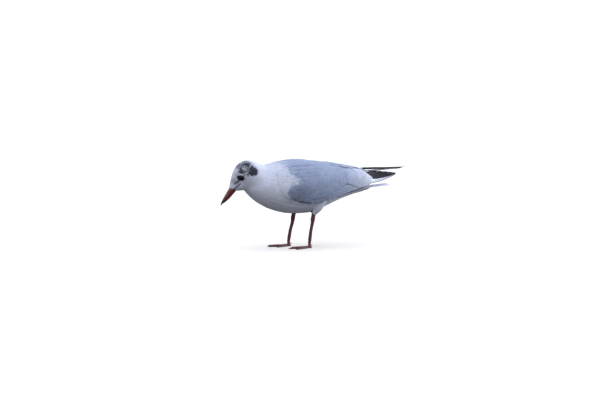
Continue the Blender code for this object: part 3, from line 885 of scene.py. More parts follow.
def grow(name, roots, vanes, seed, width=0.50, cup=0.02, root_height=0.66, **given):
    """Plants a feather on every root and returns them as one plain mesh."""
    count = len(roots.places)
    chance = np.random.default_rng(seed)
    sizes = given.get("sizes", feather_length(roots.places)) * chance.uniform(0.9, 1.1, count)
    lie = given.get("lie", lie_of(roots))
    side = np.cross(lie, roots.normals)
    lie = lie + side * chance.normal(0, 0.06, count)[:, None]
    depth = given.get("depth", coat_depth(roots.places))
    shown = roots.places + lie * sizes[:, None] * SHOWN
    points = bpy.data.meshes.new(name)
    points.from_pydata(((roots.places - lie * sizes[:, None] * ROOT_BACK) * CM).tolist(), [], [])
    write(points, "normal", roots.normals, "FLOAT_VECTOR")
    write(points, "lie", lie, "FLOAT_VECTOR")
    rows = {
        "length": sizes * CM,
        "width": sizes * width * CM,
        "depth": depth * chance.uniform(1.08, 1.24, count) * CM,
        "tone": chance.uniform(-1, 1, count),
        "root u": roots.unwrap[:, 0],
        "root v": roots.unwrap[:, 1],
    }
    strayed = shown + lie * chance.normal(0, GREY_STRAY, count)[:, None]
    rows["grey"] = grey_of(strayed) * given.get("grey", 1.0)
    for key, values in rows.items():
        write(points, key, values)
    piece = bpy.data.objects.new(name, points)
    bpy.context.scene.collection.objects.link(piece)
    planting = piece.modifiers.new("plant", "NODES")
    planting.node_group = PLANTING
    values = {"skin": skin, "vanes": vanes, "root height": root_height, "cup": cup,
              "thickness": VANE_THICKNESS, "seed": seed, "material": PLUMAGE}
    for key, value in values.items():
        planting[PLANTING_KEYS[key]] = value
    shaped = piece.evaluated_get(bpy.context.evaluated_depsgraph_get())
    result = bpy.data.meshes.new_from_object(shaped)
    piece.modifiers.clear()
    piece.data = result
    piece.data.name = name
    torn = drop_torn(result, count, vanes["rows"])
    soften(result)
    print(f"{name}: {count - torn} feathers, {torn} dropped, {len(result.polygons)} faces")
    return piece

# %% [markdown]
# ## Which root belongs to which region
# Head, neck, breast, back, rump, thighs and wings wear different feathers. Painted masks could part them,
# but the solids already do: a root is the wing's where the wing's solid is nearer than the body's, and
# slanting planes part head, neck and body. The eye and the cleft between the wings stay bare.

# %% Sort the roots by part
def tree_of(nodes):
    """A search tree round some of the solids."""
    bm = merged(nodes)
    found = BVHTree.FromBMesh(bm)
    bm.free()
    return found


def far_from(tree, places):
    return np.array([tree.find_nearest(Vector(place) * CM)[3] or 1.0 for place in places])


wing_far = far_from(tree_of(["wing_left", "wing_right"]), roots.places)
body_far = far_from(tree_of(["head", "neck", "trunk", "rump"]), roots.places)
on_wing = (wing_far < body_far) & (grey_of(roots.places) > 0.5)
on_thigh = (thigh_side(roots.places) > 0) & (roots.places[:, 2] < 6.6)
ahead = roots.places[:, 0]


def before(x, z, across, down):
    """Which roots lie before a slanting plane through (x, z)."""
    return (ahead - x) * across - (roots.places[:, 2] - z) * down < 0


on_head = before(-11.75, 12.60, 0.90, 0.28)
on_neck = ~on_head & before(-9.90, 11.70, 0.80, 0.50)
on_body = ~on_head & ~on_neck & ~on_thigh & ~on_wing
on_back = on_body & (roots.normals[:, 2] > 0.45)
on_rear = on_body & ~on_back & (ahead > 4.4)
on_breast = on_body & ~on_back & ~on_rear
bare_eye = np.hypot(ahead - EYE[0], roots.places[:, 2] - EYE[2]) < EYE_RADIUS
on_flap = (wing_far < body_far) & (ahead > -4.2)
in_cleft = (ahead > 3.2) & (np.abs(roots.places[:, 1]) < 1.6) & (roots.places[:, 2] > 10.9)
kept = ~bare_eye & ~on_flap & ~in_cleft
# Each region's name, its roots, its vanes, and their width as a share of their length.
regions = [
    ("head_feathers", on_head, FINE, 0.50),
    ("neck_feathers", on_neck, FINE, 0.44),
    ("breast_feathers", on_breast, FINE, 0.44),
    ("mantle_feathers", on_back, BROAD, 0.56),
    ("rump_feathers", on_rear, FINE, 0.50),
    ("thigh_feathers", on_thigh, FINE, 0.50),
]
FIRST_SEED = 50
coats = [grow(name, roots.only(keep & kept), vanes, FIRST_SEED + i, width)
         for i, (name, keep, vanes, width) in enumerate(regions)]

# %% [markdown]
# ## The coverts
# The small feathers of a folded wing lie in rows, staggered like shingles, and grow longer towards the
# rear and the lower edge. Random roots could cover a wing too, but without rows it looks like fur. So the
# rows follow the wing from its upper to its lower edge, each root is found by looking at the skin from the
# side, and all point to the wings' tip. A last row of white flank feathers laps over the wing's foot.

# %% Plant the coverts
COVERT_ROWS = 11
COVERTS_END = 7.4               # how far back the roots of the uppermost row reach
COVERT_STEP = 0.34              # distance along a row, as a share of a covert's length
COVERT_LIFT = 0.08              # how much higher than the body's coat they stand
TIP_OF_WINGS = np.array([21.0, 0.0, 12.3])
skin_spots = points_of(skin.data)
skin_faces = [tuple(face.vertices) for face in skin.data.polygons]
SKIN_TREE = BVHTree.FromPolygons(skin_spots.tolist(), skin_faces)
spot_unwrap = np.zeros((len(skin_spots), 2))
for loop, unwrap in zip(skin.data.loops, skin.data.uv_layers["OFBake"].data):
    spot_unwrap[loop.vertex_index] = unwrap.uv


def seen_from_side(flat, side):
    """Roots where lines across the bird, from one side, first meet the skin."""
    found = []
    for x, z in flat:
        spot, normal, face, _ = SKIN_TREE.ray_cast(Vector((x, side * 9.0, z)) * CM, Vector((0, -side, 0)))
        if spot is not None:
            found.append((*(spot / CM), *normal, *spot_unwrap[skin_faces[face][0]]))
    table = np.array(found)
    return Roots(table[:, :3], table[:, 3:6], table[:, 6:8])


def covert_length(x, share):
    """A covert's length, longer towards the rear and the wing's foot."""
    return 1.15 + 1.25 * smooth(x, -6.0, 3.5) + 0.55 * share


def coverts(word, side):
    blade = WINGS[word]
    flat = []
    for row in range(COVERT_ROWS):
        share = 0.03 + 0.90 * (row + 0.5) / COVERT_ROWS
        x = blade.x[0] + 0.2 + 0.2 * (row % 2)
        while x < COVERTS_END - 1.6 * share:
            z = float(blade.height(x, share))
            if grey_of(np.array([[x, 0.0, z]]))[0] > 0.5:
                flat.append((x, z))
            x += COVERT_STEP * float(covert_length(x, share))
    planted = seen_from_side(flat, side)
    x, z = planted.places[:, 0], planted.places[:, 2]
    top, foot = blade.height(x, 0.0), blade.height(x, 1.0)
    sizes = covert_length(x, (top - z) / (top - foot))
    way = unit(TIP_OF_WINGS - planted.places)
    way[:, 2] -= 0.25 * (1 - smooth(x, -6.0, -1.0))
    return grow(f"wing_coverts_{word}", planted, COVERT, 70 + side, width=0.56, cup=0.015,
                root_height=0.55, sizes=sizes, lie=laid_flat(way, planted.normals),
                depth=coat_depth(planted.places) + COVERT_LIFT)


coats += [coverts(word, side) for word, side in SIDES]


FLANK_EDGE_X = np.arange(-6.3, -0.9, 0.20)
FLANK_LENGTH = 0.95


def flank_edge(word, side):
    """The row of white flank feathers whose tips lap over the folded wing's lower edge."""
    blade = WINGS[word]
    z = blade.height(FLANK_EDGE_X, 1.0) - 0.10
    planted = seen_from_side(zip(FLANK_EDGE_X.tolist(), z.tolist()), side)
    x = planted.places[:, 0]
    rise = (blade.height(x + 0.5, 1.0) - blade.height(x - 0.5, 1.0)) + 0.10
    way = np.stack([np.ones(len(x)), np.zeros(len(x)), rise], axis=1)
    return grow(f"flank_edge_{word}", planted, BROAD, 80 + side, width=0.34,
                sizes=np.full(len(x), FLANK_LENGTH), lie=laid_flat(way, planted.normals),
                depth=coat_depth(planted.places) + 0.10, grey=0.0)


coats += [flank_edge(word, side) for word, side in SIDES]

# %% [markdown]
# ## The long feathers' finish
# Wing and tail feathers have a shaft, slanting barbs and pale rims, and the primaries black ends, black
# edges and white spots. Each kind could have its own material, but they differ in numbers only. So one
# material reads those numbers from each feather: its grey, its rim, where its dark end starts, how far its
# dark edge reaches, and how large its white tip is.

# %% Long feather finish
QUILL_BARBS = 420.0             # the barbs' phase from root to tip
QUILL_SLANT = 60.0              # and from shaft to rim
INK = (0.022, 0.023, 0.032)     # the primaries' black


def quill_paint():
    paint = Paint("long feathers")
    along, across = paint.attribute("along"), paint.attribute("across")
    grey, rim, dark_from, dark_edge, tip_spot = (
        paint.attribute(name) for name in ("grey", "rim", "dark from", "dark edge", "tip spot"))
    tone = paint.attribute("tone")
    drift = paint.noise(120.0, 3.0)
    wavy = along + 0.05 * drift
    base = paint.mix(grey, WHITE, GREY)
    side = across.math("ABSOLUTE")
    fringe = side.step(0.72, 0.98).math("MAXIMUM", along.step(0.90, 0.99)) * rim
    base = paint.mix(fringe, base, (0.80, 0.82, 0.86))
    ends = (wavy - dark_from).step(0.0, 0.05)
    edge = (dark_edge - across).step(0.0, 0.12)
    base = paint.mix(ends.math("MAXIMUM", edge), base, INK)
    base = paint.mix((along - 1.0 + tip_spot).step(0.0, 0.02), base, (0.76, 0.77, 0.80))
    shaft = 1 - side.step(0.015, 0.06)
    base = paint.mix(shaft * 0.5, base, (0.30, 0.29, 0.30))
    shade = 0.92 + 0.10 * drift + 0.06 * tone
    base = paint.mix(1.0, base, paint.node("ShaderNodeCombineColor", None, {0: shade, 1: shade, 2: shade}),
                     "MULTIPLY")
    slant = along * QUILL_BARBS - side * QUILL_SLANT
    barbs = slant.math("SINE") * 0.5 + 0.5
    normal = paint.bump(barbs + shaft * 3.0, 0.0001, 0.5)
    return paint.finish(Base_Color=base, Roughness=0.55 + 0.15 * drift, Normal=normal,
                        Specular_IOR_Level=0.4)


QUILL_PAINT = quill_paint()
print("long feathers' finish:", len(QUILL_PAINT.node_tree.nodes), "nodes")

# %% [markdown]
# ## Laying long feathers
# A long feather is a narrow blade, a little domed, that lies on its neighbours. It could be modelled in
# place, point by point. Here each is drawn flat instead, from root to tip with its half width, and a
# function of the surface carries every point onto the bird, so that one drawing serves wing, back and tail.

# %% Lay long feathers
QUILL_ROWS = 26
QUILL_COLUMNS = 8
QUILL_THICKNESS = 0.016
QUILL_DOME = 0.035              # a blade's rise in the middle, as a share of its half width
# The finish's numbers that a long feather may leave out, and the values that switch them off.
QUILL_FINISH = {"rim": 0.0, "dark from": 2.0, "dark edge": -2.0, "tip spot": -1.0}


def quill_outline(root, tip, half, bow=0.0, blunt=2.6):
    """A long feather drawn flat: its places by row and column, and how far along and across each is."""
    root, tip = np.array(root), np.array(tip)
    line = tip - root
    aside = np.array([-line[1], line[0]]) / np.linalg.norm(line)
    along = np.linspace(0, 1, QUILL_ROWS + 1) ** 0.8
    across = np.linspace(-1, 1, QUILL_COLUMNS + 1)
    width = half * (0.55 + 0.45 * smooth(along, 0, 0.4)) * np.maximum(1 - along ** (2 * blunt), 0.002) ** 0.5
    middle = root + line * along[:, None] + aside * (np.sin(math.pi * along) * bow)[:, None]
    grid = middle[:, None] + aside * (width[:, None] * across)[:, :, None]
    return grid, along, across


def lay_quills(name, quills, carry):
    """Joins long feathers. carry(place, lift) puts a flat place on the bird, raised by lift."""
    bm = bmesh.new()
    layers = [bm.verts.layers.float.new(key) for key in ("along", "across", "grey", *QUILL_FINISH, "tone")]
    unwrap = bm.loops.layers.uv.new("OFBake")
    chance = np.random.default_rng(len(quills))
    for number, quill in enumerate(quills):
        grid, along, across = quill_outline(quill["root"], quill["tip"], quill["half"], quill.get("bow", 0.0))
        finish = [quill.get(key, off) for key, off in QUILL_FINISH.items()] + [chance.uniform(-1, 1)]
        rings = []
        for i, row in enumerate(grid):
            ring = []
            for column, face in quill_ring():
                cup = QUILL_DOME * (1 - across[column] ** 2) * quill["half"]
                tuck = quill.get("tuck", 0.0) * (1 - smooth(along[i], 0.20, 0.60))
                lift = quill["layer"] + cup - tuck + face * QUILL_THICKNESS / 2
                vert = bm.verts.new(Vector(carry(row[column], lift)) * CM)
                grey = quill["grey"] * (rear_pale_and_painted_light(row[column][0]) if quill.get("rear_paled_and_lit") else 1.0)
                for layer, value in zip(layers, (along[i], across[column], grey, *finish)):
                    vert[layer] = value
                ring.append(vert)
            rings.append(ring)
        wrap_rings(bm, rings, unwrap, number / len(quills), 1 / len(quills), layers)
    mesh = bpy.data.meshes.new(name)
    bmesh.ops.recalc_face_normals(bm, faces=bm.faces)
    bm.to_mesh(mesh)
    bm.free()
    mesh.materials.append(QUILL_PAINT)
    piece = bpy.data.objects.new(name, mesh)
    bpy.context.scene.collection.objects.link(piece)
    print(f"{name}: {len(quills)} feathers, {len(mesh.polygons)} faces")
    return piece


def quill_ring():
    """Columns and faces in order round a long feather's flat section."""
    upper = [(c, 0 if c in (0, QUILL_COLUMNS) else 1) for c in range(QUILL_COLUMNS + 1)]
    return upper + [(c, -1) for c in range(QUILL_COLUMNS - 1, 0, -1)]


def wrap_rings(bm, rings, unwrap, start, room, layers):
    """Joins rings of points to a closed skin and unwraps it onto one upright strip."""
    count = len(rings[0])
    faces = [bm.faces.new(rings[0]), bm.faces.new(rings[-1][::-1])]
    for one, two in zip(rings, rings[1:]):
        for k in range(count):
            faces.append(bm.faces.new((one[k], two[k], two[(k + 1) % count], one[(k + 1) % count])))
        for k in (0, QUILL_COLUMNS):
            bm.edges.get((one[k], two[k])).smooth = False
    for face in faces:
        face.smooth = True
        for loop in face.loops:
            across = 0.5 + 0.46 * loop.vert[layers[1]]
            loop[unwrap].uv = (start + room * across, 0.02 + 0.96 * loop.vert[layers[0]])

# %% [markdown]
# ## Primaries
# Six long feathers of each wing show behind the body. The outermost lies lowest and is white with a black
# edge and end. The others lie over it, black where they show, with small white tips. All could be placed
# one by one, but folded primaries step back evenly, so only the first and the last black one are given,
# and those between are spaced by rule.

# %% Make the primaries
# Each wing's innermost and outermost black primary, and its white outer one: root and tip seen from the
# side (X, Z), and half the width.
PRIMARIES = {
    "left": [((9.5, 12.08), (12.3, 12.16), 0.44), ((9.5, 11.38), (16.0, 11.94), 0.34),
             ((9.6, 10.60), (16.1, 11.92), 0.28)],
    "right": [((8.4, 12.86), (13.1, 12.98), 0.19), ((8.4, 12.88), (17.1, 13.08), 0.13),
              ((9.4, 12.50), (16.6, 12.94), 0.18)],
}
PRIMARY_COUNT = 6


def tip_surface(word, side):
    """Carries a flat place (X, Z) onto a wing's tip."""
    blade = Blade(f"primaries_{word}")

    def carry(place, lift):
        x, z = place
        top = np.array([np.interp(x, blade.x, blade.top[:, i]) for i in (1, 2)])
        foot = np.array([np.interp(x, blade.x, blade.foot[:, i]) for i in (1, 2)])
        down = foot - top
        share = min(max((z - top[1]) / down[1], -0.6), 1.6)
        out = np.array([-down[1], down[0]])
        out = out / np.linalg.norm(out)
        if out[0] * side < 0:
            out = -out
        return (x, top[0] + down[0] * share + out[0] * lift, z + out[1] * lift)

    return carry


def primaries(word, side):
    first, last, outer = PRIMARIES[word]
    quills = []
    for number in range(PRIMARY_COUNT - 1):
        out = number / (PRIMARY_COUNT - 2)
        root, tip = (np.array(first[i]) * (1 - out) + np.array(last[i]) * out for i in (0, 1))
        tip[0] = first[1][0] + (last[1][0] - first[1][0]) * (1 - (1 - out) ** 1.35)
        quills.append({"root": root, "tip": tip, "half": first[2] * (1 - out) + last[2] * out,
                       "layer": 0.075 - 0.026 * number, "dark from": 0.0, "tip spot": 0.022, "grey": 1.0})
    quills.append({"root": outer[0], "tip": outer[1], "half": outer[2], "layer": -0.060,
                   "dark from": 0.93, "dark edge": -0.62, "grey": 0.0})
    return lay_quills(f"primary_feathers_{word}", quills, tip_surface(word, side))


quill_pieces = {f"primaries_{word}": primaries(word, side) for word, side in SIDES}

# %% [markdown]
# ## Tertials and secondaries
# Broad tertials with pale rims cover a folded wing's rear and close over the rump, and the secondaries'
# tips make its neat lower edge. A flat sheet could carry them, but would cut into the round wing. So lines
# across the bird find the solid wing's outer face under every point, and what reaches over its upper edge
# bends in towards the middle, where a low ridge of feathers closes the cleft.

# %% Lay the wing's long feathers
def wing_surface(word, side):
    """Carries a flat place (X, Z) onto the outer face of a folded wing."""
    tree = tree_of([f"wing_{word}"])
    blade = WINGS[word]

    def carry(place, lift):
        x, z = place
        inside = min(max(x, blade.x[0]), blade.x[-1])
        top, foot = float(blade.height(inside, 0.03)), float(blade.height(inside, 0.97))
        at = min(max(z, foot), top)
        start = Vector((inside, side * 9.0, at)) * CM
        spot, normal, _, _ = tree.ray_cast(start, Vector((0, -side, 0)))
        if spot is None:
            spot, normal, _, _ = tree.find_nearest(Vector((inside, side * 0.6, at)) * CM)
        over = max(z - top, 0.0)
        end = float(smooth(x, 8.6, 9.8))
        y = spot.y / CM + normal.y * lift - side * over * (1 - 0.8 * end)
        return (x, y, at + normal.z * lift + over * (0.25 + 0.6 * end) + min(z - foot, 0.0))

    return carry


TERTIALS = 5
SECONDARIES = 12
# Dark lines along the wing's lower edge: a painted shadow line under its front, then the primaries' dark
# underside at its rear. Each: from and to X, how far down the wing, half width and bow.
SHADOW_LINE_AND_DARK_EDGE = [(-5.5, -1.8, 0.985, 0.040, 0.12), (4.4, 9.3, 0.975, 0.060, 0.0)]


def wing_quills(word, side):
    blade = WINGS[word]
    end = blade.x[-1]
    quills = []
    for number in range(SECONDARIES):
        share = number / (SECONDARIES - 1)
        tip = -1.6 + (end + 1.1) * share
        root = max(tip - 5.2, -6.0)
        quills.append({
            "root": (root, float(blade.height(root, 0.74 - 0.04 * share))),
            "tip": (tip, float(blade.height(tip, 0.985 - 0.12 * share))),
            "half": 0.44 + 0.10 * share,
            "layer": 0.010 - 0.007 * number, "tuck": 0.10,
            "grey": 0.98, "rear_paled_and_lit": True, "rim": 0.10 + 0.40 * share,
        })
    for number in range(TERTIALS):
        share = number / (TERTIALS - 1)
        tip = end + 0.10 - 2.7 * share ** 1.6
        root = tip - 6.2 + 1.2 * share
        quills.append({
            "root": (root, float(blade.height(root, 0.46 - 0.30 * share))),
            "tip": (tip, float(blade.height(tip, 0.60 - 0.50 * share))),
            "half": 0.86 - 0.10 * share,
            "layer": -0.035 + 0.012 * number, "tuck": 0.10,
            "grey": 0.96, "rear_paled_and_lit": True, "rim": 0.35,
        })
    for start, stop, share, half, bow in SHADOW_LINE_AND_DARK_EDGE:
        quills.append({
            "root": (start, float(blade.height(start, share - 0.03))),
            "tip": (stop, float(blade.height(stop, share))),
            "half": half, "bow": bow * side, "layer": 0.05, "dark from": 0.0, "grey": 0.0,
        })
    return lay_quills(f"tertials_and_secondaries_{word}", quills, wing_surface(word, side))


wing_quill_pieces = [wing_quills(word, side) for word, side in SIDES]


def roof(place, lift):
    """Carries a flat place (X, Y) onto the low ridge where the two wings meet over the rump."""
    x, y = place
    tops = [float(WINGS[word].height(x, 0.0)) for word, _ in SIDES]
    return (x, y, max(tops) - 0.05 - 0.17 * y * y + lift)


ROOF_ROWS = 5
ROOF_STEP = 1.55                # how far one row's tips lie ahead of those of the row behind
ROOF_LENGTH = 3.6
# The ridge's columns: Y, and the X of the last tip.
ROOF_PLACES = ((-0.34, 10.6), (0.34, 10.6), (-0.95, 7.6), (0.95, 7.6), (0.0, 10.6))
ridge = []
for number in range(ROOF_ROWS):
    for y, last in ROOF_PLACES:
        tip = last - ROOF_STEP * number - (0.3 if y else 0.0)
        ridge.append({"root": (tip - ROOF_LENGTH, y), "tip": (tip, y * 0.86), "half": 0.44,
                      "layer": 0.016 * number - 0.03 * abs(y) + 0.008 * (y == 0), "tuck": 0.16,
                      "grey": 0.98, "rear_paled_and_lit": True, "rim": 0.20})
# The thin dark line along the back, where the folded wings' edges meet.
ridge.append({"root": (1.6, 0.10), "tip": (10.2, 0.02), "half": 0.085, "layer": 0.120, "dark from": 0.0,
              "grey": 1.0})
wing_quill_pieces.append(lay_quills("scapular_feathers", ridge, roof))

# %% [markdown]
# ## Tail
# Twelve white feathers, the middle pair on top, spread a little towards a square end. One fan-shaped sheet
# could stand for them, but a tail seen from behind shows its layers. So they are laid pair by pair on the
# middle of the tail's solid.

# %% Make the tail
TAIL_PAIRS = 6


def tail_surface():
    """Carries a flat place (X, Y) onto the middle of the tail's solid, which droops to the sides."""
    triangles = triangles_of("tail")
    low, high = box_cm("tail")
    xs = np.linspace(low[0] + 0.05, high[0] - 0.03, 30)
    cuts = [cut_across(triangles, 0, x) for x in xs]
    middle = np.array([(cut[:, 2].max() + cut[:, 2].min()) / 2 for cut in cuts])

    def carry(place, lift):
        x, y = place
        return (x, y, float(np.interp(x, xs, middle)) - 0.03 * y * y + lift)

    return carry


def tail():
    low, high = box_cm("tail")
    quills = []
    for number in range(TAIL_PAIRS):
        for side in (-1, 1):
            out = (TAIL_PAIRS - 1 - number) / (TAIL_PAIRS - 1)
            spread = 0.08 + 1.32 * out
            quills.append({
                "root": (low[0] + 0.1, side * (0.10 + 0.75 * out)),
                "tip": (high[0] - 0.10 - 0.22 * out ** 2, side * spread),
                "half": 0.56,
                "layer": -0.04 + 0.014 * number + 0.007 * (side > 0),
                "grey": 0.0,
            })
    return lay_quills("tail_feathers", quills, tail_surface())


quill_pieces["tail"] = tail()

# %% [markdown]
# ## Bill
# The bill is horn: dark red, with a blackish end and dark cutting edges. It could be drawn anew, but the
# solid's outline is right already and only faceted. So each half is the solid remeshed finely and smoothed,
# and then worked: a nostril slit in a shallow groove is pressed into each side of the upper half, and fine
# growth lines run round the horn.

# %% Bill finish
MOUTH = np.array([-13.91, 11.58])            # the corner of the mouth, X and Z
BILL_WAY = np.array([bill_low[0] - MOUTH[0], bill_low[2] - MOUTH[1]])
BILL_LENGTH = float(np.linalg.norm(BILL_WAY))
BILL_WAY /= BILL_LENGTH
BILL_UP = np.array([BILL_WAY[1], -BILL_WAY[0]])


def along_bill(places):
    """How far a place is from the mouth's corner towards the bill's tip, and how far above that line."""
    flat = places[:, [0, 2]] - MOUTH
    return flat @ BILL_WAY, flat @ BILL_UP


def horn():
    paint = Paint("bill horn")
    reach, edge = paint.attribute("reach"), paint.attribute("edge")
    drift = paint.noise(260.0, 4.0)
    base = paint.mix(drift, (0.135, 0.023, 0.021), (0.205, 0.041, 0.033))
    base = paint.mix((reach + 0.10 * drift).step(0.66, 0.92), base, (0.014, 0.009, 0.012))
    base = paint.mix(edge * 0.85, base, (0.035, 0.008, 0.010))
    rings = (reach * 210.0 + drift * 5.0).math("SINE")
    normal = paint.bump(rings * 0.3 + paint.noise(900.0, 3.0), 0.00008, 0.6)
    return paint.finish(Base_Color=base, Roughness=0.30 + 0.18 * drift, Normal=normal, Coat_Weight=0.12)


def press_nostril(places):
    """Vertices of the upper half moved in at the nostril slits and the groove before them."""
    reach, rise = along_bill(places)
    side = np.sign(places[:, 1])
    slit = np.exp(-((reach - 2.62) / 0.24) ** 4 - ((rise - 0.26) / 0.045) ** 2)
    groove = np.exp(-((reach - 2.30) / 0.62) ** 4 - ((rise - 0.28) / 0.11) ** 2)
    moved = places.copy()
    moved[:, 1] -= side * (0.085 * slit + 0.025 * groove)
    return moved


BILL_VOXEL = 0.00028            # metres
BILL_EASING = 5                 # rounds of smoothing
BILL_ROOT = 0.42                # how far the horn runs on under the face's feathers
BILL_END = 0.04                 # what smoothing took off the tip
BILL_FULL = 0.040               # and off the sides
BILL_LOWER = 0.08               # and how far the whole lies below it
BILL_DEEPER = 0.28              # how much deeper the lower half is than its solid


def deepened(places):
    """Vertices of the lower half moved down, the lower the further."""
    _, rise = along_bill(places)
    moved = places.copy()
    moved[:, [0, 2]] += (np.minimum(rise, 0) * BILL_DEEPER)[:, None] * BILL_UP
    return moved


def bill_half(name, node, worked):
    """One half of the bill: its solid remeshed, filled out again and worked."""
    piece = remeshed(name, [node], BILL_VOXEL, BILL_EASING)
    places = points_of(piece.data) / CM
    reach, _ = along_bill(places)
    back = BILL_ROOT * (1 - smooth(reach, reach.min() + 0.05, reach.min() + 0.55))
    onward = BILL_END * smooth(reach, BILL_LENGTH - 1.2, BILL_LENGTH)
    places[:, [0, 2]] += (onward - back)[:, None] * BILL_WAY
    places += normals_of(piece.data) * BILL_FULL
    places[:, [0, 2]] -= BILL_UP * BILL_LOWER
    places = worked(places)
    move_points(piece.data, places)
    reach, rise = along_bill(places)
    write(piece.data, "reach", np.clip((reach - 1.5) / (BILL_LENGTH - 1.5), 0, 1))
    write(piece.data, "edge", 1 - smooth(np.abs(rise), 0.02, 0.14))
    piece.data.materials.append(HORN)
    print(f"{name}: {len(piece.data.polygons)} faces")
    return piece


HORN = horn()
bill_pieces = {
    "bill_upper": bill_half("bill_horn_upper", "bill_upper", press_nostril),
    "bill_lower": bill_half("bill_horn_lower", "bill_lower", deepened),
}

# %% [markdown]
# ## Tubes
# Legs, toes, claws, eyelids and the mouth's corners are all tubes whose radius changes along the way.
# Curves with a bevel could make them, but can't carry plates or pads. So one helper sets rings across a
# line, lets a rule change their radius round the way, and closes the ends to a point, which leaves no seam
# or hole.

# %% Tube helper
def curve_through(rows, count):
    """A smooth line through rows of numbers, at even steps, by Catmull-Rom pieces."""
    rows = np.array(rows, float)
    padded = np.concatenate([[2 * rows[0] - rows[1]], rows, [2 * rows[-1] - rows[-2]]])
    at = np.linspace(0, len(rows) - 1 - 1e-9, count)
    i = at.astype(int)
    t = (at - i)[:, None]
    a, b, c, d = (padded[i + k] for k in range(4))
    square, cube = 2 * a - 5 * b + 4 * c - d, 3 * b - a - 3 * c + d
    return 0.5 * (2 * b + (c - a) * t + square * t ** 2 + cube * t ** 3)


def tube(bm, spine, radii, sides=16, relief=None, upright=(0, 0, 1), loop=False):
    """Adds a closed tube round a line of places, with a radius at each. A loop's ends are joined.

    relief(along, angle) gives a factor on the radius, where angle 0 points the upright way.
    """
    along_layer = bm.verts.layers.float.get("along") or bm.verts.layers.float.new("along")
    front_layer = bm.verts.layers.float.get("front") or bm.verts.layers.float.new("front")
    spine = np.array(spine, float)
    ways = np.roll(spine, -1, axis=0) - np.roll(spine, 1, axis=0)
    if not loop:
        ways[0], ways[-1] = spine[1] - spine[0], spine[-1] - spine[-2]
    rings = []
    for i, (place, way) in enumerate(zip(spine, unit(ways))):
        over = unit(np.array(upright, float) - way * np.dot(upright, way))
        beside = np.cross(way, over)
        ring = []
        for k in range(sides):
            angle = math.tau * k / sides
            radius = radii[i] * (1 if relief is None else relief(i / (len(spine) - 1), angle))
            out = over * math.cos(angle) + beside * math.sin(angle)
            vert = bm.verts.new(Vector(place + out * radius) * CM)
            vert[along_layer] = i / (len(spine) - 1)
            vert[front_layer] = math.cos(angle)
            ring.append(vert)
        rings.append(ring)
    pairs = list(zip(rings, rings[1:]))
    if loop:
        pairs.append((rings[-1], rings[0]))
    for one, two in pairs:
        for k in range(sides):
            bm.faces.new((one[k], one[(k + 1) % sides], two[(k + 1) % sides], two[k]))
    if not loop:
        for ring, place, share in ((rings[0], spine[0], 0.0), (rings[-1], spine[-1], 1.0)):
            pole = bm.verts.new(Vector(place) * CM)
            pole[along_layer] = share
            for k in range(sides):
                pair = (ring[(k + 1) % sides], ring[k]) if share == 0 else (ring[k], ring[(k + 1) % sides])
                bm.faces.new((pole, *pair))


def piece_from(bm, name, material):
    """A finished piece from a bmesh, with its faces turned outwards."""
    bmesh.ops.recalc_face_normals(bm, faces=bm.faces)
    mesh = bpy.data.meshes.new(name)
    bm.to_mesh(mesh)
    bm.free()
    mesh.materials.append(material)
    mesh.shade_smooth()
    piece = bpy.data.objects.new(name, mesh)
    bpy.context.scene.collection.objects.link(piece)
    print(f"{name}: {len(mesh.polygons)} faces")
    return piece

# %% [markdown]
# ## Eyes
# A gull's eye is nearly all dark brown iris and black pupil under a clear, bulging cornea. It could be
# built in layers, with glass in front, but a dark eye this small shows none of them. So it is one
# flattened, glossy ball with a bulge in front, square to the cheek, with rings of colour round its axis.

# %% Make the eyes
BALL_RADIUS = EYE_RADIUS * 1.02
BALL_FLATNESS = 0.62            # the ball's depth as a share of its height
BALL_IN = 0.085                 # how far the ball's middle lies under the skin
CORNEA = 0.05                   # how far the clear front bulges
CHEEK = 0.95                    # how far round the eye the cheek's slope is read


def eye_axes(side):
    """The eye's middle and its forward, upward and outward ways, square to the cheek round it."""
    middle = EYE * (1, -side, 1)
    places, normals = points_of(skin.data) / CM, normals_of(skin.data)
    far = np.linalg.norm(places - middle, axis=1)
    near = (far < CHEEK) & (places[:, 1] * side > 0)
    out = unit(normals[near].mean(axis=0))
    up = unit(np.array([0.0, 0.0, 1.0]) - out * out[2])
    start = Vector((middle[0], side * 5.0, middle[2])) * CM
    cheek = np.array(SKIN_TREE.ray_cast(start, Vector((0, -side, 0)))[0]) / CM
    return cheek - out * BALL_IN, np.cross(out, up) * side, up, out


def eye_paint():
    paint = Paint("eye")
    ring = paint.attribute("ring")
    streaks = paint.noise(1400.0, 2.0)
    base = paint.mix((ring + 0.03 * streaks).step(0.40, 0.44), (0.001, 0.001, 0.001), (0.010, 0.005, 0.003))
    base = paint.mix(ring.step(0.80, 0.95), base, (0.003, 0.002, 0.002))
    return paint.finish(Base_Color=base, Roughness=0.06, Specular_IOR_Level=0.12, Coat_Weight=0.04,
                        Coat_Roughness=0.02)


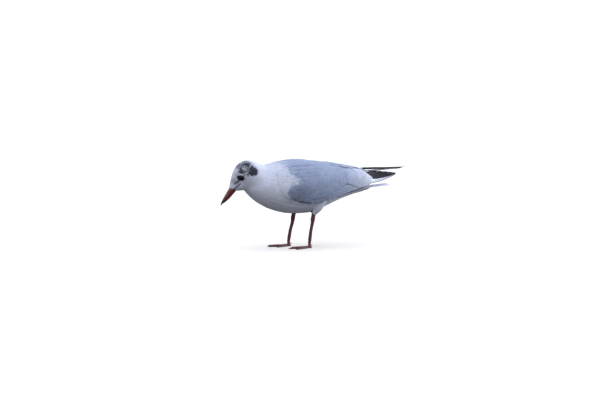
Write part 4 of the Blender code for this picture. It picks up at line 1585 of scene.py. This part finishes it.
def eyeball(word, side):
    """A flattened ball with a clear bulge in front, its poles along the eye's axis."""
    bm = bmesh.new()
    layer = bm.verts.layers.float.new("ring")
    middle, forward, up, out = eye_axes(side)
    rows, sides = 32, 40
    rings = []
    for i in range(rows + 1):
        turn = math.pi * i / rows
        bulge = CORNEA * math.exp(-(turn / 0.62) ** 2)
        ring = []
        for k in range(1 if i in (0, rows) else sides):
            angle = math.tau * k / sides
            flat = (forward * math.cos(angle) + up * math.sin(angle)) * math.sin(turn) * BALL_RADIUS
            deep = out * (math.cos(turn) * BALL_RADIUS * BALL_FLATNESS + bulge)
            vert = bm.verts.new(Vector(middle + flat + deep) * CM)
            vert[layer] = math.sin(turn) if turn < math.pi / 2 else 1.0
            ring.append(vert)
        rings.append(ring)
    for one, two in zip(rings, rings[1:]):
        for k in range(sides):
            corners = [one[k % len(one)], two[k % len(two)], two[(k + 1) % len(two)], one[(k + 1) % len(one)]]
            bm.faces.new(list(dict.fromkeys(corners)))
    return piece_from(bm, f"eyeball_{word}", EYE_PAINT)


EYE_PAINT = eye_paint()
eye_pieces = {f"eye_{word}": eyeball(word, side) for word, side in SIDES}

# %% [markdown]
# ## Lids and the mouth's corners
# Thin rims of dark bare skin close round each eye, and the gape runs back from the bill as a dark crease.
# Both could be cut into the skin, but its faces are too coarse for that. So they are closed tubes, one
# laid on the eyeball's rim and one along the cheek, half sunk.

# %% Make the lids and the mouth's corners
LID_OPEN = (0.420, 0.385)        # half the opening's length and height


def bare_skin():
    paint = Paint("lid and gape skin")
    drift = paint.noise(500.0, 3.0)
    base = paint.mix(drift, (0.006, 0.004, 0.005), (0.016, 0.008, 0.009))
    normal = paint.bump(paint.noise(2200.0, 2.0), 0.0001, 0.5)
    return paint.finish(Base_Color=base, Roughness=0.48, Normal=normal)


def lid(word, side):
    """A soft ring on the eyeball's rim, drawn to a slight corner before and behind."""
    bm = bmesh.new()
    middle, forward, up, out = eye_axes(side)
    spine, radii = [], []
    for k in range(72):
        angle = math.tau * k / 72
        x = LID_OPEN[0] * math.cos(angle)
        z = LID_OPEN[1] * math.sin(angle) * (1 - 0.12 * math.cos(angle) ** 2)
        share = (x * x + z * z) / BALL_RADIUS ** 2
        deep = BALL_RADIUS * BALL_FLATNESS * math.sqrt(max(1 - share, 0)) - 0.01
        spine.append(middle + forward * x + up * z + out * deep)
        radii.append(0.030 + 0.012 * max(math.sin(angle), 0) + 0.012 * abs(math.cos(angle)) ** 6)
    tube(bm, spine, radii, sides=12, upright=tuple(out), loop=True)
    return piece_from(bm, f"lids_{word}", BARE_SKIN)


def gape(word, side):
    """The mouth's line from the bill's edge to its corner, lying on the cheek."""
    bm = bmesh.new()
    spine, ways = [], []
    for t in np.linspace(-0.02, 1.60, 16):
        x, z = MOUTH + BILL_WAY * t
        spot, normal, _, _ = SKIN_TREE.ray_cast(Vector((x, side * 5.0, z)) * CM, Vector((0, -side, 0)))
        if spot is not None:
            spine.append(np.array(spot + normal * 0.0007) / CM)
            ways.append(np.array(normal))
    radii = np.interp(np.linspace(0, 1, len(spine)), [0, 0.15, 1], [0.030, 0.085, 0.115])
    spine = np.array(spine) - np.array(ways) * radii[:, None] * 0.55
    tube(bm, spine, radii, sides=12)
    return piece_from(bm, f"mouth_corner_{word}", BARE_SKIN)


BARE_SKIN = bare_skin()
face_pieces = [make(word, side) for word, side in SIDES for make in (lid, gape)]

# %% [markdown]
# ## The legs' finish
# A gull's leg is bare, dark red and scaly, with broad plates down its front and small round scales on its
# sides. The small scales could be modelled, at many thousands of faces, but they hardly stand out. So they
# are a pattern of cells in bump alone, weaker on the front, where the plates are real steps.

# %% Leg finish
def leg_paint(name, light, deep):
    paint = Paint(name)
    front = paint.attribute("front")
    drift = paint.noise(160.0, 4.0)
    cells = paint.node("ShaderNodeTexVoronoi", {"feature": "DISTANCE_TO_EDGE"},
                       {"Vector": paint.place(), "Scale": 1500.0}, out="Distance")
    cracks = 1 - cells.step(0.0, 0.12)
    base = paint.mix(drift, deep, light)
    base = paint.mix(cracks * 0.5, base, tuple(0.35 * v for v in deep))
    normal = paint.bump(cells.math("MINIMUM", 0.3) * (1.2 - front.step(0.3, 0.9)), 0.00025, 0.7)
    return paint.finish(Base_Color=base, Roughness=0.42 + 0.2 * drift, Normal=normal)


LEG_PAINT = leg_paint("leg scales", (0.210, 0.055, 0.046), (0.090, 0.020, 0.020))
WEB_PAINT = leg_paint("web skin", (0.060, 0.020, 0.020), (0.024, 0.010, 0.011))


def claw_paint():
    paint = Paint("claw horn")
    drift = paint.noise(700.0, 3.0)
    base = paint.mix(drift, (0.010, 0.008, 0.009), (0.035, 0.025, 0.024))
    return paint.finish(Base_Color=base, Roughness=0.30 + 0.1 * drift)


CLAW_PAINT = claw_paint()
print("leg finish:", len(LEG_PAINT.node_tree.nodes), "nodes")

# %% [markdown]
# ## The legs
# The shank is slim with a knob at each end and wears a row of plates down its front. The solid could be
# kept and painted, but it is plain and faceted. So a tube runs through the solid's own middle line, its
# radius is read off at many heights, and each plate is a real step in that radius.

# %% Make the legs
SCUTE = 0.20                    # height of one plate
SCUTE_STEP = 0.060              # how far its lower edge stands out, as a share of the radius
LEG_RINGS = 110
LEG_BACK = 0.10                 # how far behind the solid's middle the shank runs
LEG_DOWN = 0.25                 # how far it runs on into the foot
LEG_UP = 0.60                   # and into the thigh
LEG_FULL = 1.30                 # its radius as a share of the solid's
LEG_LOWER = 0.30                # how much more of it below the knob, given back above the ankle


def leg_fullness(z):
    """The shank's radius at a height, as a share of the solid's."""
    return LEG_FULL + LEG_LOWER * smooth(-z, -4.5, -2.0) - LEG_LOWER * smooth(-z, -1.6, -1.0)


def leg(word):
    """One shank, and the place of its ankle."""
    node = f"leg_{word}"
    triangles = triangles_of(node)
    low, high = box_cm(node)
    heights = np.linspace(low[2] + 0.03, high[2] - 0.35, LEG_RINGS)
    spine, radii = [], []
    for z in heights:
        cut = cut_across(triangles, 2, z)
        spine.append([(cut[:, i].max() + cut[:, i].min()) / 2 for i in (0, 1)] + [z])
        radii.append((np.ptp(cut[:, 0]) + np.ptp(cut[:, 1])) / 4 * leg_fullness(z))
    spine = np.array(spine) + (LEG_BACK, 0, 0)
    up = unit(spine[-1] - spine[-8])
    spine = np.concatenate([[spine[0] - (0, 0, LEG_DOWN)], spine, [spine[-1] + up * LEG_UP]])
    radii = np.concatenate([[radii[0] * 0.8], radii, [radii[-1]]])
    total = heights[-1] - heights[0]

    def relief(along, angle):
        front = max(math.cos(angle), 0) ** 1.5
        step = (along * total / SCUTE) % 1
        return 1 + SCUTE_STEP * front * (step ** 0.5 - 0.5) - 0.05 * max(-math.cos(angle), 0)

    bm = bmesh.new()
    tube(bm, spine, radii, sides=24, relief=relief, upright=(-1, 0, 0))
    return piece_from(bm, f"shank_{word}", LEG_PAINT), spine[1]

# %% [markdown]
# ## The feet
# Three toes spread forwards with a web between them, and a small hind toe sits above the ground.
# Subdivided boxes could be pulled into such a foot, but toes are round and plated like the leg. So toes
# and claws are tubes, each web is a thin closed sheet that sags between two toes, and what would lie under
# the floor is pressed flat onto it.

# %% Make the feet
TOES = [(-27.0, 2.75), (0.0, 3.55), (27.0, 3.20)]       # inner, middle, outer: spread and length
TOE_RADII = [0.17, 0.238, 0.179, 0.162, 0.11]           # from behind the heel to the claw
TOE_PLATE = 0.16                # length of one plate on a toe
HEEL = 0.34                     # how far the toes start behind the ankle
SOLE = 0.80                     # the toe's middle lies this share of its radius above the floor
WEB_FRONT = 0.97                # how far along its toes a web reaches
WEB_SAG = 0.192                 # and how much of that its front edge curves in
WEB_THICKNESS = 0.085
CLAW_LENGTH = 0.42
CLAW_RADIUS = 0.092
# Rows of X and Y from the ankle, height, and radius.
ANKLE = [(0.02, 0.0, 1.05, 0.23), (0.0, 0.0, 0.62, 0.245), (-0.02, 0.0, 0.24, 0.27)]
HIND_TOE = [(0.00, 0.00, 0.46, 0.13), (0.38, -0.05, 0.52, 0.085)]
HIND_CLAW = [(0.33, -0.045, 0.52, 0.075), (0.38, -0.05, 0.52, 0.07), (0.66, -0.08, 0.40, 0.012)]


def toe_lines(joint, side):
    """Each front toe's start, way and length."""
    found = []
    for spread, length in TOES:
        turn = math.radians(spread)
        way = np.array([-math.cos(turn), side * math.sin(turn), 0.0])
        found.append((np.array([joint[0] - 0.06, joint[1], 0.0]), way, length))
    return found


def toe_relief(plates):
    """Plates on top of a toe and pads under it."""
    def relief(along, angle):
        over = max(math.cos(angle), 0) ** 2
        under = max(-math.cos(angle), 0)
        step = (along * plates) % 1
        pads = 0.5 + 0.5 * math.cos(math.tau * along * 3.5)
        return 1 + 0.05 * over * (step ** 0.5 - 0.5) + 0.05 * under * pads

    return relief


def flatten(bm):
    """Sets every point below the floor on it, which gives the feet their flats."""
    for vert in bm.verts:
        vert.co.z = max(vert.co.z, 0.0)


def web(bm, one, two):
    """The skin between two toes, its front edge curved in, with soft folds that run out from the heel."""
    start, way_one, length_one = one
    _, way_two, length_two = two
    across, along = 14, 22
    faces = {}
    for sheet in (1, 0):
        for i in range(along + 1):
            for j in range(across + 1):
                t, u = i / along, j / across
                way = way_one * (1 - u) + way_two * u
                length = length_one * (1 - u) + length_two * u
                reach = (0.06 + 0.94 * t) * length * (WEB_FRONT - WEB_SAG * math.sin(math.pi * u))
                fold = 0.012 * math.sin(math.tau * 4 * u) * t + 0.03 * math.sin(math.pi * u) * t
                z = WEB_THICKNESS - fold if sheet else 0.0
                faces[sheet, i, j] = bm.verts.new(Vector(start + way * reach + (0, 0, z)) * CM)
    for i in range(along):
        for j in range(across):
            for sheet in (1, 0):
                corners = [faces[sheet, i + a, j + b] for a, b in ((0, 0), (0, 1), (1, 1), (1, 0))]
                bm.faces.new(corners if sheet else corners[::-1])
    rim = [(0, j) for j in range(across)] + [(i, across) for i in range(along)]
    rim += [(along, j) for j in range(across, 0, -1)] + [(i, 0) for i in range(along, 0, -1)]
    for (i, j), (k, m) in zip(rim, rim[1:] + rim[:1]):
        bm.faces.new((faces[1, i, j], faces[0, i, j], faces[0, k, m], faces[1, k, m]))


def claw_rows(start, way, length):
    """A front claw's places and radii, arched and tapering."""
    for t in np.linspace(0, 1, 14):
        rise = 0.125 + 0.05 * t - 0.14 * t * t
        mark = start + way * (length - 0.10 + (CLAW_LENGTH + 0.10) * t) + (0, 0, rise)
        yield (*mark, CLAW_RADIUS * (1 - t) ** 0.7 + 0.008)


def tube_of(bm, rows, **given):
    """A tube from rows of place and radius."""
    rows = np.array(list(rows))
    tube(bm, rows[:, :3], rows[:, 3], **given)


def foot(word, side, joint):
    """One foot's toes, webs and claws."""
    toes, claws, webs = bmesh.new(), bmesh.new(), bmesh.new()
    lines = toe_lines(joint, side)
    for start, way, length in lines:
        marks = [start + (HEEL, 0, 0) - way * 0.08] + [start + way * length * i / 3 for i in range(4)]
        rows = [(*(mark + (0, 0, SOLE * radius)), radius) for mark, radius in zip(marks, TOE_RADII)]
        tube_of(toes, curve_through(rows, 64), sides=18, relief=toe_relief(length / TOE_PLATE))
        tube_of(claws, claw_rows(start, way, length), sides=12)
    ankle, hind, hook = ([(joint[0] + x, joint[1] + side * y, z, radius) for x, y, z, radius in rows]
                         for rows in (ANKLE, HIND_TOE, HIND_CLAW))
    tube_of(toes, curve_through(ankle, 24), sides=18, upright=(-1, 0, 0))
    tube_of(toes, curve_through(hind, 20), sides=14)
    tube_of(claws, curve_through(hook, 12), sides=12)
    for one, two in zip(lines, lines[1:]):
        web(webs, one, two)
    flatten(toes)
    flatten(claws)
    return [piece_from(toes, f"toes_{word}", LEG_PAINT), piece_from(webs, f"webs_{word}", WEB_PAINT),
            piece_from(claws, f"claws_{word}", CLAW_PAINT)]


leg_pieces, foot_pieces = {}, {}
for word, side in SIDES:
    leg_pieces[f"leg_{word}"], joint = leg(word)
    foot_pieces[f"foot_{word}"] = foot(word, side, joint)

# %% [markdown]
# ## Camera, floor and light
# The model stands on a plain pale floor in soft daylight, seen from a little ahead and above. Many lamps
# could light it, but an open sky is one wide, even source. So a ramp from a dim ground to a bright top
# does most, one wide lamp fills the side behind the tail, and a small one puts a glint in the eye.

# %% Camera and lights
VIEW_TURN = math.radians(25)    # how far ahead of the bird's left side the camera stands
VIEW_RISE = math.radians(6)     # how far above it
VIEW_FAR = 6.0                  # metres
VIEW_WIDTH = 1.046              # metres across at the bird
VIEW_AIM = (-0.0111, 0.0723)    # metres to the right of and above the frame's origin
SENSOR = 36.0                   # millimetres
to_side = Vector((math.cos(VIEW_TURN), -math.sin(VIEW_TURN), 0))
to_camera = Vector((-math.sin(VIEW_TURN) * math.cos(VIEW_RISE),
                    -math.cos(VIEW_TURN) * math.cos(VIEW_RISE), math.sin(VIEW_RISE)))
to_top = to_camera.cross(to_side)
aim = to_side * VIEW_AIM[0] + to_top * VIEW_AIM[1]
camera = bpy.data.objects.new("camera", bpy.data.cameras.new("camera"))
camera.data.sensor_width = SENSOR
camera.data.lens = SENSOR * VIEW_FAR / VIEW_WIDTH
camera.data.clip_end = 60.0
camera.location = aim + to_camera * VIEW_FAR
camera.rotation_euler = to_camera.to_track_quat("Z", "Y").to_euler()
bpy.context.scene.collection.objects.link(camera)
bpy.context.scene.camera = camera
bpy.context.scene.view_settings.view_transform = "Standard"

bpy.ops.mesh.primitive_circle_add(vertices=96, radius=14.0, fill_type="NGON")
floor = bpy.context.object
floor.name = "floor"
floor.data.materials.append(Paint("pale floor").finish(
    Base_Color=(0.92, 0.88, 0.80), Roughness=0.9, Specular_IOR_Level=0.1,
    Emission_Color=(1.0, 0.97, 0.90), Emission_Strength=0.16))
floor.visible_diffuse = False
floor.visible_glossy = False

world = bpy.data.worlds.new("overcast")
world.use_nodes = True
bpy.context.scene.world = world
sky = Paint.over(world.node_tree)
around = sky.node("ShaderNodeTexCoord", out="Generated")
upward = sky.node("ShaderNodeSeparateXYZ", None, {0: around}, out="Z")
rise = sky.node("ShaderNodeMapRange", None, {0: upward, 1: -0.12, 2: 0.92})
air = sky.mix(rise, (0.15, 0.15, 0.165), (1.24, 1.32, 1.55))
sky.put(world.node_tree.nodes["Background"].inputs["Color"], air)


LIGHT_FAR = 2.2                 # metres


def area_light(name, way, size, energy, colour=(1.0, 1.0, 1.0)):
    """A square light some way off that shines back towards the bird."""
    light = bpy.data.objects.new(name, bpy.data.lights.new(name, "AREA"))
    light.data.size = size
    light.data.energy = energy
    light.data.color = colour
    toward = Vector(way).normalized()
    light.location = toward * LIGHT_FAR
    light.rotation_euler = toward.to_track_quat("Z", "Y").to_euler()
    bpy.context.scene.collection.objects.link(light)


area_light("soft rear light", (0.98, -0.12, 0.07), size=1.6, energy=42.0, colour=(0.92, 0.96, 1.0))
area_light("catch light", (-0.62, -0.66, 0.58), size=0.34, energy=3.5)
print("camera at", tuple(round(v, 2) for v in camera.location), "m")

# %% [markdown]
# ## Joining it to the frame
# The gull has no joints, so every piece rides on the root. The solids could stay underneath, but would show
# through a thin place, so each gives way to the piece that shows it better.

# %% Join it to the frame
for piece in [skin, *coats, *wing_quill_pieces]:
    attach(piece, "root")
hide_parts(*FLESH)
for node, piece in quill_pieces.items():
    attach(piece, "root")
    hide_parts(node)
for slot, pieces in (("bill", bill_pieces), ("eye", eye_pieces), ("leg", leg_pieces)):
    for node, piece in pieces.items():
        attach(piece, "root")
        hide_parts(node)
for node, pieces in foot_pieces.items():
    for piece in pieces:
        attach(piece, "root")
    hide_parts(node)
for piece in face_pieces:
    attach(piece, "root")
